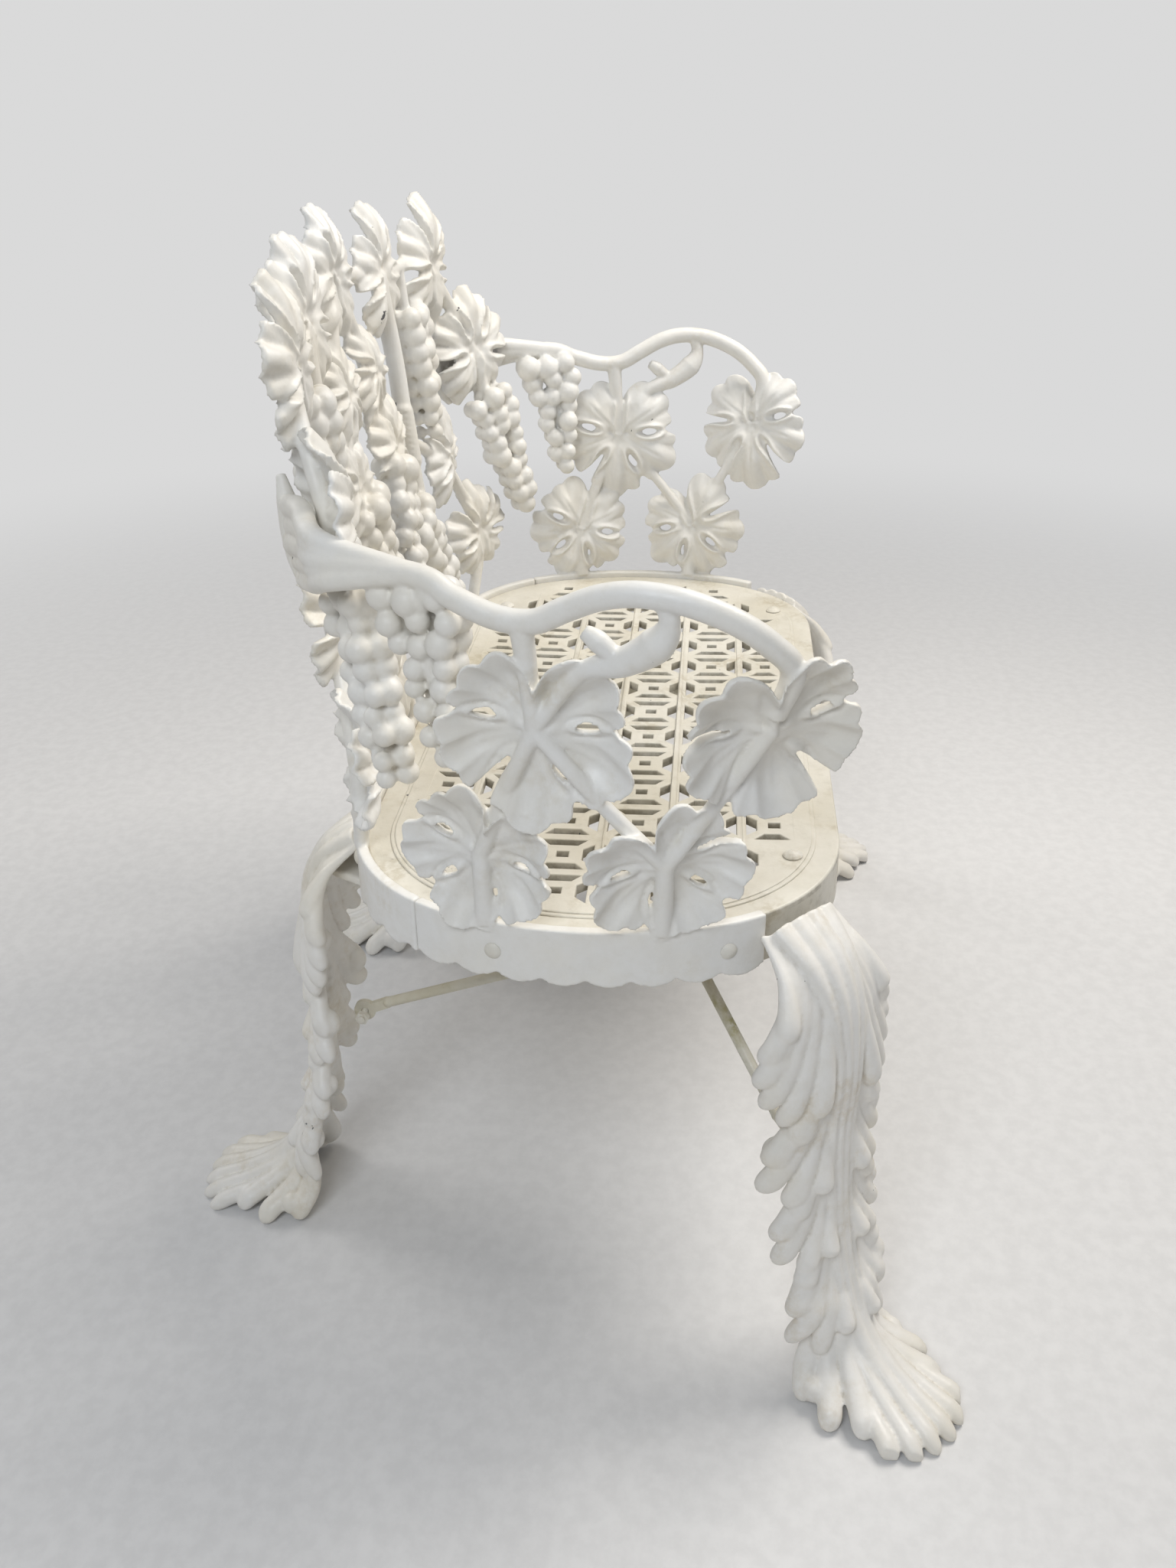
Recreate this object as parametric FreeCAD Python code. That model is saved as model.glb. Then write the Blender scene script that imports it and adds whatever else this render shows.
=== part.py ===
import FreeCAD, Part
import math
import os
from FreeCAD import Matrix, Placement, Vector

# Cast iron garden bench with a vine, leaf and grape pattern.
# Millimetres, +Z up, the sitter faces -Y, and the sitter's right hand is at -X.

# Seat casting
seat_height = 418.0
seat_length = 800.0
seat_depth = 390.0
corner_radius = 152.0
corner_sweep = 70.0
plate_thickness = 9.0
border_width = 22.5
border_step = 3.0
apron_thickness = 7.0
apron_depth = 46.0
boss_radius = 13.0

# Pierced star pattern of the seat
star_pitch = 57.5
star_rows = 12
star_columns = 5
long_bar = 8.0
cross_bar = 9.8
kite_tall = 33.8
kite_short = 17.1
kite_depth = 8.6
eye_along = 9.2
eye_across = 9.8
slot_width = 9.0
slot_long_inset = 10.4
slot_short_inset = 17.5
outer_slot_reach = 39.0
outer_slot_short_reach = 31.0
outer_eye_reach = 27.0
pierced_margin = 8.0

# Bands of the arms and the back, which stand against the seat's apron
band_thickness = 9.0
band_rise = 3.0
band_drop = 45.0
band_clearance = 0.2
band_joint_gap = 0.4
arm_half_span = 128.0
scallop_pitch = 33.0
scallop_notch = 6.5

# Vine leaves, stems and grapes
leaf_thickness = 8.0
leaf_eye_length = 12.0
leaf_eye_width = 6.0
leaf_eye_rim = 5.0
eye_steps = 12
stem_radius = 6.5
stem_bite = 2.0
trunk_radius = 9.0
grape_radius = 11.0
grape_spacing = 17.0
bunch_length = 112.0
bunch_width = 56.0
bunch_inset = 8.0
bunch_taper = 0.75
corner_leaf_inset = 8.0
corner_inset_run = 52.0

# Leaf margin: angles from the tip in degrees, lengths as shares of the leaf's radius
leaf_lobes = [(0, 1.05), (65, 1.0), (-65, 1.0), (130, 0.94), (-130, 0.94)]
leaf_notches = [33, -33, 98, -98]
lobe_half_angle = 33.0
lobe_fall = 0.26
notch_depth = 0.2
notch_half_angle = 7.0
margin_wave = 0.03
margin_wave_angle = 21.7
least_reach = 0.42
margin_steps = 72

# Lean of the openwork panels, outward per unit of height
back_lean_middle = 0.135
back_lean_side = 0.055
back_bow_span = 280.0
arm_lean = 0.11
arm_lean_to_rear = -0.0006
arm_lean_to_front = 0.0016

# Hand rail and its rear tab
rail_radius = 8.0
rail_clearance = 5.0
tab_length = 46.0
tab_width = 30.0
tab_thickness = 8.0
tab_along = -32.0
tab_up = -20.0
tab_crossing = [(0, 0), (36, 6), (82, 10)]

# Legs, one casting used at the front and rear of a side
rear_leg_x = 228.0
front_leg_angle = 45.0
leg_wall = 7.0
leg_start = 11.0
leg_top_drop = 9.0
shoulder_reach = 55.0
shoulder_drop = 85.0
ankle_height = 190.0
foot_arc_radius = 200.0
foot_lobe_reach = 88.0
foot_side_reach = 76.0
foot_centre_reach = 118.0
foot_side_angle = 64.0
foot_lobe_spread = 36.0
foot_side_spread = 30.0
foot_lobe_fall = 0.45
foot_neck = 30.0
foot_edge = 6.0
foot_edge_share = 0.98
foot_rise = 46.0
foot_top_share = 0.3
foot_steps = 48
leg_top_half_width = 35.0
lobe_root_half_width = 46.0
lobe_tip_half_width = 66.0
leg_fold = 34.0
leg_top_fold = 12.0
fan_height = 52.0
tier_count = 4
tier_first_drop = 58.0
tier_last_height = 70.0
tier_step = 7.0
tier_bulge = 4.0
tier_bulge_share = 0.55
tier_taper = 2.0
ankle_half_width = 30.0
ankle_folds = [(58.0, 16.0), (26.0, 10.0)]
flange_thickness = 8.0
flange_half_width = 24.0
pad_back = 44.0
pad_side = 51.0
pad_radius = 17.0
pad_neck_share = 0.8

# Braces under the seat
brace_radius = 4.8
brace_eye_radius = 10.0
brace_eye_thickness = 5.0
brace_tang = 24.0
lug_reach = 27.0
lug_height = 206.0
lug_thickness = 8.0
hub_radius = 11.0
hub_drop = 30.0
hub_row = 2.5
hub_column = 0.0
hub_bolt_share = 0.6
hub_hole_share = 0.7
ball_share = 1.08

# Fasteners
shank_radius = 3.0
hole_clearance = 0.3
thread_clearance = 0.1
leg_head_radius = 8.0
leg_head_height = 4.5
band_head_radius = 6.5
band_head_height = 3.5
head_edge_share = 0.25
washer_radius = 7.5
washer_thickness = 1.4
nut_radius = 6.4
nut_height = 5.0
shank_tail = 2.0
screw_bite = 5.0
arm_bolt_places = [68.0, -104.0]
back_bolt_places = [95.0, 268.0]
band_bolt_drop = 21.0

UP = Vector(0, 0, 1)
ORIGIN = Vector(0, 0, 0)
ACROSS = Vector(1, 0, 0)

# Seat outline: straight front and rear, corner arcs, and bowed ends
sweep = math.radians(corner_sweep)
corner_y = seat_depth / 2 - corner_radius
arc_gap = corner_y / math.cos(sweep)
end_radius = corner_radius + arc_gap
end_centre = seat_length / 2 - end_radius
corner_x = end_centre + arc_gap * math.sin(sweep)
corner_run = corner_x + corner_radius * sweep
end_run = corner_run + end_radius * (math.pi / 2 - sweep)

plate_bottom = seat_height - plate_thickness
apron_bottom = seat_height - apron_depth
hole_radius = shank_radius + hole_clearance
panel_offset = band_clearance + band_thickness / 2
stem_foot = band_rise - stem_bite


def outline_point(angle, offset):
    """Point of the offset outline whose outward normal is angle from +Y, on the +X side."""
    turn = min(angle, math.pi - angle)
    side = 1 if angle <= math.pi / 2 else -1
    if turn <= sweep:
        reach = corner_radius + offset
        return Vector(corner_x + reach * math.sin(turn), side * (corner_y + reach * math.cos(turn)), 0)
    reach = end_radius + offset
    return Vector(end_centre + reach * math.sin(turn), side * reach * math.cos(turn), 0)


def outline_frame(run):
    """Point, outward normal and tangent at a distance along the outline from the rear's middle."""
    if run <= corner_x:
        return Vector(run, seat_depth / 2, 0), Vector(0, 1, 0), Vector(1, 0, 0)
    if run <= corner_run:
        angle = (run - corner_x) / corner_radius
    else:
        angle = sweep + (run - corner_run) / end_radius
        angle = min(angle, math.pi - sweep) + max(0, angle - math.pi + sweep) * end_radius / corner_radius
    normal = Vector(math.sin(angle), math.cos(angle), 0)
    tangent = Vector(math.cos(angle), -math.sin(angle), 0)
    return outline_point(angle, 0), normal, tangent


def outline_offset(x, y):
    """Signed distance from the outline, negative inside the seat."""
    x, y = abs(x), abs(y)
    if x <= corner_x:
        return y - seat_depth / 2
    if math.atan2(x - corner_x, y - corner_y) <= sweep:
        return math.hypot(x - corner_x, y - corner_y) - corner_radius
    return math.hypot(x - end_centre, y) - end_radius


def outline_wire(offset):
    """Closed outline of the seat, grown by offset."""
    stops = [0, sweep, math.pi - sweep, math.pi]
    arcs = []
    for start, end in zip(stops, stops[1:]):
        ends = [outline_point(angle, offset) for angle in (start, (start + end) / 2, end)]
        arcs.append(Part.Arc(*ends).toShape())
    halves = []
    for arc in arcs:
        halves.append(arc)
        halves.append(arc.mirror(ORIGIN, ACROSS))
    half_depth = seat_depth / 2 + offset
    for y in (half_depth, -half_depth):
        halves.append(Part.LineSegment(Vector(-corner_x, y, 0), Vector(corner_x, y, 0)).toShape())
    return Part.Wire(Part.__sortEdges__(halves))


def prism(wires, bottom, top):
    """Solid between two heights from an outer wire and any hole wires."""
    face = Part.makeFace(wires, "Part::FaceMakerBullseye")
    face.translate(Vector(0, 0, bottom))
    return face.extrude(Vector(0, 0, top - bottom))


def ring(outer, inner, bottom, top):
    """Wall that follows the seat's outline between two offsets."""
    return prism([outline_wire(outer), outline_wire(inner)], bottom, top)


def upright(radius, bottom, top, x, y):
    """Vertical cylinder between two heights."""
    return Part.makeCylinder(radius, top - bottom, Vector(x, y, bottom))


def placed(shape, origin, x_axis, y_axis, z_axis):
    """Copy of a shape made in local axes, set at its place."""
    axes = Matrix(
        x_axis.x, y_axis.x, z_axis.x, origin.x,
        x_axis.y, y_axis.y, z_axis.y, origin.y,
        x_axis.z, y_axis.z, z_axis.z, origin.z,
        0, 0, 0, 1)
    result = shape.copy()
    result.Placement = Placement(axes).multiply(result.Placement)
    return result


def mirrored(shape):
    """The same piece on the other side of the bench."""
    return shape.mirror(ORIGIN, ACROSS)


def both_sides(shapes):
    """Shapes with their mirror images."""
    return shapes + [mirrored(shape) for shape in shapes]


def joined(shapes):
    """One solid from overlapping shapes, joined one after another."""
    result = shapes[0]
    for shape in shapes[1:]:
        result = result.fuse(shape)
    return result


def tube(points, radius):
    """Round bar along straight runs with mitred turns."""
    path = Part.makePolygon(points)
    section = Part.Circle(points[0], points[1] - points[0], radius).toShape()
    return path.makePipeShell([Part.Wire(section)], True, False, 1)


def polygon_wire(points):
    """Closed wire through corner points given as (x, y)."""
    corners = [Vector(x, y, 0) for x, y in points]
    return Part.makePolygon(corners + corners[:1])


# Pierced pattern
def trapezoid(x, y, long_half, short_half, near, far, lengthwise):
    """Four-cornered hole with its long side at near and its short side at far."""
    corners = [(-long_half, near), (long_half, near), (short_half, far), (-short_half, far)]
    if lengthwise:
        return [(x + along, y + across) for along, across in corners]
    return [(x + across, y + along) for along, across in corners]


def pattern_holes():
    """Corner points of every hole of the star pattern, before it is clipped."""
    holes = []
    columns = [(index - (star_columns - 1) / 2) * star_pitch for index in range(star_columns)]
    last = columns[-1]
    kite_rows = [(index - star_rows / 2) * star_pitch for index in range(star_rows + 1)]
    gaps = [column + star_pitch / 2 for column in columns[:-1]]
    eyes = gaps + [last + outer_eye_reach, -last - outer_eye_reach]
    for x in kite_rows:
        for y in columns:
            for side in (1, -1):
                near, far = side * long_bar / 2, side * (long_bar / 2 + kite_depth)
                holes.append(trapezoid(x, y, kite_tall / 2, kite_short / 2, near, far, True))
        for y in eyes:
            half = eye_along / 2
            holes.append(trapezoid(x, y, half, half, -eye_across / 2, eye_across / 2, True))
    slots = [(y, star_pitch / 2 - slot_long_inset, star_pitch / 2 - slot_short_inset) for y in gaps]
    outer_middle = (outer_slot_reach + slot_long_inset) / 2
    outer_long = (outer_slot_reach - slot_long_inset) / 2
    outer_short = outer_long - (outer_slot_reach - outer_slot_short_reach)
    slots += [(side * (last + outer_middle), outer_long, outer_short) for side in (1, -1)]
    edge = (star_rows + 1) / 2
    for index in range(star_rows + 2):
        x = (index - edge) * star_pitch
        for side in (1, -1):
            if abs(x + side) > edge * star_pitch:
                continue
            near, far = side * cross_bar / 2, side * (cross_bar / 2 + slot_width)
            for y, long_half, short_half in slots:
                holes.append(trapezoid(x, y, long_half, short_half, near, far, False))
    return holes


def clear_of_edges(hole, bolts):
    """Whether a hole lies within the pierced field and clear of the leg bolts."""
    limit = border_width + pierced_margin
    inside = all(outline_offset(x, y) <= -limit for x, y in hole)
    apart = all(math.hypot(x - b.x, y - b.y) > boss_radius for x, y in hole for b in bolts)
    return inside and apart


# Leaves and grapes, made flat: x along the panel, y up, z toward the sitter
def leaf_reach(angle, radius):
    """Distance from a leaf's middle to its margin, at an angle from its tip."""
    best = 0
    for middle, length in leaf_lobes:
        away = (angle - middle + 180) % 360 - 180
        best = max(best, length * (1 - lobe_fall * (away / lobe_half_angle) ** 2))
    for middle in leaf_notches:
        away = (angle - middle + 180) % 360 - 180
        best -= notch_depth * math.exp(-(away / notch_half_angle) ** 2)
    wave = margin_wave * math.cos(2 * math.pi * angle / margin_wave_angle)
    return radius * max(least_reach, best + wave)


def oval(length, width, steps):
    """Corner points of an oval about the origin, long along x."""
    turns = [2 * math.pi * step / steps for step in range(steps)]
    return [(length / 2 * math.cos(turn), width / 2 * math.sin(turn)) for turn in turns]


def leaf(radius, turn):
    """Five-lobed leaf plate with an opening in each notch, turned from upright."""
    margin = []
    for step in range(margin_steps):
        angle = step * 360 / margin_steps
        reach = leaf_reach(angle, radius)
        around = math.radians(angle + turn)
        margin.append((-reach * math.sin(around), reach * math.cos(around)))
    wires = [polygon_wire(margin)]
    eye = polygon_wire(oval(leaf_eye_length, leaf_eye_width, eye_steps))
    for middle in leaf_notches:
        around = math.radians(middle + turn)
        axis = Vector(-math.sin(around), math.cos(around), 0)
        place = leaf_reach(middle, radius) - leaf_eye_rim - leaf_eye_length / 2
        wires.append(placed(eye, axis * place, axis, UP.cross(axis), UP))
    return prism(wires, -leaf_thickness / 2, leaf_thickness / 2)


def grape_bunch():
    """Hanging bunch, its top at y = 0, tapering downward."""
    grapes = []
    rows = int(bunch_length / grape_spacing)
    for row in range(rows):
        share = row / (rows - 1)
        count = max(1, round((1 - bunch_taper * share) * bunch_width / grape_spacing))
        for place in range(count):
            x = (place - (count - 1) / 2) * grape_spacing
            lift = bunch_inset * (1 - abs(x) / bunch_width)
            centre = Vector(x, -row * grape_spacing, lift)
            grapes.append(Part.makeSphere(grape_radius, centre, Vector(0, -1, 0)))
    return grapes[0].multiFuse(grapes[1:])


# Curved panels that carry the leaves
def wall_frame(run, rise, lean, offset):
    """Origin, along, up and inward axes on a leaning panel above the seat's edge."""
    point, normal, tangent = outline_frame(run)
    origin = point + normal * (offset + lean * rise) + UP * (seat_height + rise)
    up = normal * lean + UP
    up.normalize()
    return origin, tangent, up, tangent.cross(up)


def within(value, low, high):
    """Share of the way from low to high, kept between 0 and 1."""
    return min(1, max(0, (value - low) / (high - low)))


def back_frame(run, rise):
    """Frame on the back panel, which bows to the rear at its middle and stands in at the rails' tabs."""
    bow = max(0, 1 - (run / back_bow_span) ** 2)
    lean = back_lean_side + (back_lean_middle - back_lean_side) * bow
    corner_rise = back_leaves["corner"][1]
    near_corner = within(run, corner_x, corner_x + corner_inset_run) * within(rise, 0, corner_rise / 2)
    return wall_frame(run, rise, lean, panel_offset - corner_leaf_inset * near_corner)


def arm_frame(along, rise):
    """Frame on the left arm, with along measured rearward from the end's middle."""
    lean = arm_lean + along * arm_lean_to_rear
    if along < 0:
        lean = arm_lean - along * arm_lean_to_front
    return wall_frame(end_run - along, rise, lean, panel_offset)


def set_leaf(frame, radius, turn):
    """Leaf plate on a panel frame."""
    return placed(leaf(radius, turn), *frame)


def set_bunch(frame, bunch, turn):
    """Grape bunch hung on a panel frame and swung sideways."""
    origin, along, up, inward = frame
    swing = math.radians(turn)
    side = along * math.cos(swing) + up * math.sin(swing)
    return placed(bunch, origin + inward * (leaf_thickness / 2), side, inward.cross(side), inward)


def band(box_low, box_high):
    """Part of the band wall round the seat that lies within a box, before its edge is notched."""
    bottom = seat_height - band_drop
    wall = ring(band_clearance + band_thickness, band_clearance, bottom, seat_height + band_rise)
    span = box_high - box_low
    return wall.common(Part.makeBox(span.x, span.y, span.z, box_low))


def radial_pin(run, height, radius, start, length):
    """Cylinder square to the outline, from an offset outward."""
    point, normal, tangent = outline_frame(run)
    return Part.makeCylinder(radius, length, point + normal * start + UP * height, normal)


def notch_tools(runs):
    """Round cutters that leave scallops along a band's lower edge."""
    tools = []
    for run in runs:
        tools.append(radial_pin(run, seat_height - band_drop, scallop_notch, -1, band_thickness + 4))
    return tools


def band_holes(runs):
    """Bolt holes through a band and the apron behind it."""
    start = -apron_thickness - 1
    length = apron_thickness + band_thickness + 4
    return [radial_pin(run, seat_height - band_bolt_drop, hole_radius, start, length) for run in runs]


# Back panel
back_leaf_middle = (0, 400, 63, 0)
back_leaves = {
    "upper": (138, 384, 63, 6),
    "shoulder": (258, 374, 61, -8),
    "corner": (318, 280, 60, 0),
    "hanging": (52, 312, 48, 170),
    "inner": (74, 236, 53, 195),
    "side": (248, 180, 55, 15),
    "low_corner": (303, 80, 53, 8),
    "low_inner": (84, 58, 51, 10),
}
back_bunches = [(196, 336, 0), (334, 226, 18), (110, 150, 34), (66, 214, -20)]
back_stems = [
    ([(152, stem_foot), (140, 200), (146, 300), (138, 384)], trunk_radius),
    ([(40, stem_foot), (40, 165), (74, 236), (52, 312), (24, 375), (14, 396)], stem_radius),
    ([(286, stem_foot), (303, 80), (248, 180)], stem_radius),
    ([(318, 280), (258, 374), (138, 384), (11, 401)], stem_radius),
    ([(140, 225), (248, 180)], stem_radius),
    ([(84, stem_foot), (84, 58)], stem_radius),
    ([(196, 379), (196, 326)], stem_radius),
    ([(318, 280), (338, 218)], stem_radius),
    ([(74, 236), (112, 142)], stem_radius),
]
corner_leaf_frame = back_frame(*back_leaves["corner"][:2])


def back_stem(route, radius):
    """Vine stem through places on the back panel."""
    return tube([back_frame(run, rise)[0] for run, rise in route], radius)


def make_back(bunch):
    """Openwork back casting."""
    low = Vector(-seat_length, arm_half_span + band_joint_gap, 0)
    wall = band(low, Vector(seat_length, seat_depth, seat_height * 2))
    half = [back_stem(route, radius) for route, radius in back_stems]
    half.sort(key=lambda stem: -stem.Volume)
    for run, rise, radius, turn in back_leaves.values():
        half.append(set_leaf(back_frame(run, rise), radius, turn))
    for run, rise, turn in back_bunches:
        half.append(set_bunch(back_frame(run, rise), bunch, turn))
    run, rise, radius, turn = back_leaf_middle
    middle = set_leaf(back_frame(run, rise), radius, turn)
    side = joined(half)
    panel = joined([wall, side, mirrored(side), middle])
    joint = corner_run - corner_radius * (sweep - math.acos((arm_half_span - corner_y) / corner_radius))
    count = int(joint / scallop_pitch)
    notches = notch_tools([(index + 0.5) * scallop_pitch for index in range(count)])
    tools = both_sides(notches + band_holes(back_bolt_places) + [tab_hole()])
    return panel.cut(tools)


def tab_axes():
    """Frame of the rail's tab: on the corner leaf's outer face, z toward the sitter."""
    origin, along, up, inward = corner_leaf_frame
    place = origin + along * tab_along + up * tab_up - inward * (leaf_thickness / 2)
    return place, along, up, inward


def tab_hole():
    """Screw hole through the corner leaf and into the tab."""
    place, along, up, inward = tab_axes()
    length = screw_bite + leaf_thickness + 1
    return Part.makeCylinder(hole_radius, length, place - inward * screw_bite, inward)


# Arms
arm_leaves = [(29, 169, 66, 175), (-107, 180, 68, 190), (74, 60, 60, 160), (-55, 62, 60, 200)]
arm_rail = [
    (104, 268), (78, 258), (50, 249), (26, 249), (6, 260), (-14, 271), (-34, 276),
    (-58, 273), (-82, 261), (-100, 244), (-111, 224), (-107, 180),
]
arm_stems = [
    [(34, 250), (29, 169), (-55, 62), (-55, stem_foot)],
    [(-46, 274), (-24, 236), (29, 169), (74, 60), (74, stem_foot)],
    [(-107, 180), (-55, 62)],
    [(29, 169), (-107, 180)],
    [(96, 264), (104, 246)],
]
arm_bunch = (108, 250, 8)


def make_arm(bunch):
    """Openwork left arm casting with its hand rail and rear tab."""
    low = Vector(end_centre, -arm_half_span, 0)
    wall = band(low, Vector(seat_length, arm_half_span, seat_height * 2))
    place, along, up, inward = tab_axes()
    beside = rail_radius + rail_clearance
    start = place - inward * beside
    crossing = [start + along * shift + up * rise for shift, rise in tab_crossing]
    rail = tube(crossing + [arm_frame(*point)[0] for point in arm_rail], rail_radius)
    shapes = [rail]
    shapes += [tube([arm_frame(*point)[0] for point in route], stem_radius) for route in arm_stems]
    for along_end, rise, radius, turn in arm_leaves:
        shapes.append(set_leaf(arm_frame(along_end, rise), radius, turn))
    along_end, rise, turn = arm_bunch
    shapes.append(set_bunch(arm_frame(along_end, rise), bunch, turn))
    tab = prism([polygon_wire(oval(tab_length, tab_width, margin_steps))], -tab_thickness, 0)
    shapes.append(placed(tab, place, along, up, inward))
    arm = joined([wall] + shapes)
    count = int(2 * arm_half_span / scallop_pitch)
    notches = notch_tools([end_run + (index - (count - 1) / 2) * scallop_pitch for index in range(count)])
    holes = band_holes([end_run - along_end for along_end in arm_bolt_places])
    return arm.cut(notches + holes + [tab_hole()])


# Legs, made with x outward from the seat's edge, y away from the bolt pad, z up
def spine_point(height):
    """Outward reach and outward direction of the leg's spine at a height."""
    top = seat_height - leg_top_drop
    knee = leg_start + shoulder_reach
    if height > top - shoulder_drop:
        turn = math.acos(1 - (top - height) / shoulder_drop)
        reach = leg_start + shoulder_reach * math.sin(turn)
        normal = Vector(shoulder_drop * math.sin(turn), 0, shoulder_reach * math.cos(turn))
    elif height > ankle_height:
        reach = knee
        normal = Vector(1, 0, 0)
    else:
        turn = math.asin((ankle_height - height) / foot_arc_radius)
        reach = knee + foot_arc_radius * (1 - math.cos(turn))
        normal = Vector(math.cos(turn), 0, math.sin(turn))
    normal.normalize()
    return Vector(reach, 0, height), normal


def leg_section(height, half_width, fold):
    """Channel-shaped section of the leg, open toward the bench."""
    point, normal = spine_point(height)
    shares = [-1, -0.7, -0.35, 0, 0.35, 0.7, 1]
    outer = []
    inner = []
    for share in shares:
        sink = abs(share) ** 1.5
        outer.append(point + Vector(0, share * half_width, 0) - normal * (fold * sink))
        depth = leg_wall + (fold - leg_wall) * sink
        inner.append(point + Vector(0, share * (half_width - leg_wall), 0) - normal * depth)
    corners = outer + inner[::-1]
    return Part.makePolygon(corners + corners[:1])


def leg_body():
    """Lobed channel from the shoulder to the ankle."""
    top = seat_height - leg_top_drop
    stations = [(top - 1, leg_top_half_width, leg_top_fold)]
    for share in (0.2, 0.55, 1):
        spread = leg_top_half_width + (lobe_root_half_width - leg_top_half_width) * share
        fold = leg_top_fold + (leg_fold - leg_top_fold) * share
        stations.append((top - fan_height * share, spread, fold))
    tier_top = top - tier_first_drop
    tier_height = (tier_top - tier_last_height) / tier_count
    for tier in range(tier_count):
        start = tier_top - tier * tier_height
        stations.append((start - tier_step, lobe_root_half_width, leg_fold))
        middle = (lobe_root_half_width + lobe_tip_half_width) / 2 + tier_bulge
        stations.append((start - tier_height * tier_bulge_share, middle, leg_fold))
        stations.append((start - tier_height, lobe_tip_half_width - tier_taper * tier, leg_fold))
    for height, fold in ankle_folds:
        stations.append((height, ankle_half_width, fold))
    return Part.makeLoft([leg_section(*station) for station in stations], True, True)


def foot_wire(share, height):
    """Outline of the lobed foot, drawn in to a share of its size."""
    lobes = [(0, foot_lobe_reach, foot_lobe_spread)]
    for middle in (foot_side_angle, -foot_side_angle):
        lobes.append((middle, foot_side_reach, foot_side_spread))
    points = []
    for step in range(foot_steps):
        angle = step * 360 / foot_steps - 180
        reach = foot_neck
        for middle, length, spread in lobes:
            reach = max(reach, length * (1 - foot_lobe_fall * ((angle - middle) / spread) ** 2))
        around = math.radians(angle)
        side = reach * share * math.sin(around)
        points.append((foot_centre_reach + reach * share * math.cos(around), side))
    wire = polygon_wire(points)
    wire.translate(UP * height)
    return wire


def make_leg():
    """Leg casting with its lobed foot, top flange and brace lug, in its own axes."""
    layers = [(1, 0), (foot_edge_share, foot_edge), (foot_top_share, foot_rise)]
    foot = Part.makeLoft([foot_wire(share, height) for share, height in layers], True, True)
    knee = leg_start + shoulder_reach
    flange_reach = spine_point(apron_bottom)[0].x - leg_wall / 2
    nose = flange_half_width / 4
    wide = flange_half_width
    shoulder = flange_reach - leg_fold
    neck = pad_radius * pad_neck_share
    corners = [(shoulder, wide), (flange_reach, nose), (flange_reach, -nose), (shoulder, -wide)]
    corners += [(-pad_back, -pad_side - neck), (-pad_back, -pad_side + neck)]
    flange = prism([polygon_wire(corners)], apron_bottom - flange_thickness, apron_bottom)
    pad = upright(pad_radius, apron_bottom - flange_thickness, apron_bottom, -pad_back, -pad_side)
    lug = Part.makeBox(knee - lug_reach - 2, lug_thickness, 2 * brace_eye_radius)
    lug.translate(Vector(lug_reach, -lug_thickness / 2, lug_height - brace_eye_radius))
    side = Vector(0, 1, 0)
    lug_face = Vector(lug_reach, -lug_thickness / 2, lug_height)
    lug_end = Part.makeCylinder(brace_eye_radius, lug_thickness, lug_face, side)
    leg = leg_body().multiFuse([foot, flange, pad, lug, lug_end])
    bolt_hole = upright(hole_radius, 0, seat_height, -pad_back, -pad_side)
    lug_hole = Part.makeCylinder(hole_radius, 3 * lug_thickness, lug_face - side * lug_thickness, side)
    return leg.cut([bolt_hole, lug_hole])


# Leg places on the left side of the bench
front_angle = math.pi - math.radians(front_leg_angle)
leg_places = {
    "front": (outline_point(front_angle, 0), Vector(math.sin(front_angle), math.cos(front_angle), 0)),
    "rear": (Vector(rear_leg_x, seat_depth / 2, 0), Vector(0, 1, 0)),
}


def leg_axes(name):
    """Origin and axes of a leg on the left side; y points away from its bolt pad."""
    origin, outward = leg_places[name]
    return origin, outward, UP.cross(outward), UP


def leg_spot(name, outward, side, height):
    """Place given in a leg's own axes."""
    origin, x_axis, y_axis, z_axis = leg_axes(name)
    return origin + x_axis * outward + y_axis * side + z_axis * height


leg_bolts = [leg_spot(name, -pad_back, -pad_side, 0) for name in leg_places]
hub_spot = Vector(hub_row * star_pitch, hub_column * star_pitch, plate_bottom - hub_drop)


def make_seat():
    """Pierced seat casting with its stepped border, apron and bosses."""
    bolts = both_side_points(leg_bolts)
    hubs = both_side_points([hub_spot])
    wires = [polygon_wire(hole) for hole in pattern_holes() if clear_of_edges(hole, bolts)]
    panel = prism([outline_wire(-border_width)] + wires, plate_bottom, seat_height)
    border = ring(0, -border_width, plate_bottom, seat_height - border_step)
    apron = ring(0, -apron_thickness, apron_bottom, plate_bottom)
    bosses = [upright(boss_radius, apron_bottom, plate_bottom, spot.x, spot.y) for spot in bolts]
    bosses += [upright(hub_radius, hub_spot.z, plate_bottom, spot.x, spot.y) for spot in hubs]
    seat = panel.multiFuse([border, apron] + bosses)
    holes = [upright(hole_radius, 0, seat_height + 1, spot.x, spot.y) for spot in bolts]
    bite = hub_spot.z + hub_drop * hub_hole_share
    holes += [upright(hole_radius, 0, bite, spot.x, spot.y) for spot in hubs]
    arm_runs = [end_run - along for along in arm_bolt_places]
    holes += both_sides(band_holes(arm_runs + back_bolt_places))
    return seat.cut(holes)


def both_side_points(points):
    """Points with their mirror images."""
    return points + [Vector(-point.x, point.y, point.z) for point in points]


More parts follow.
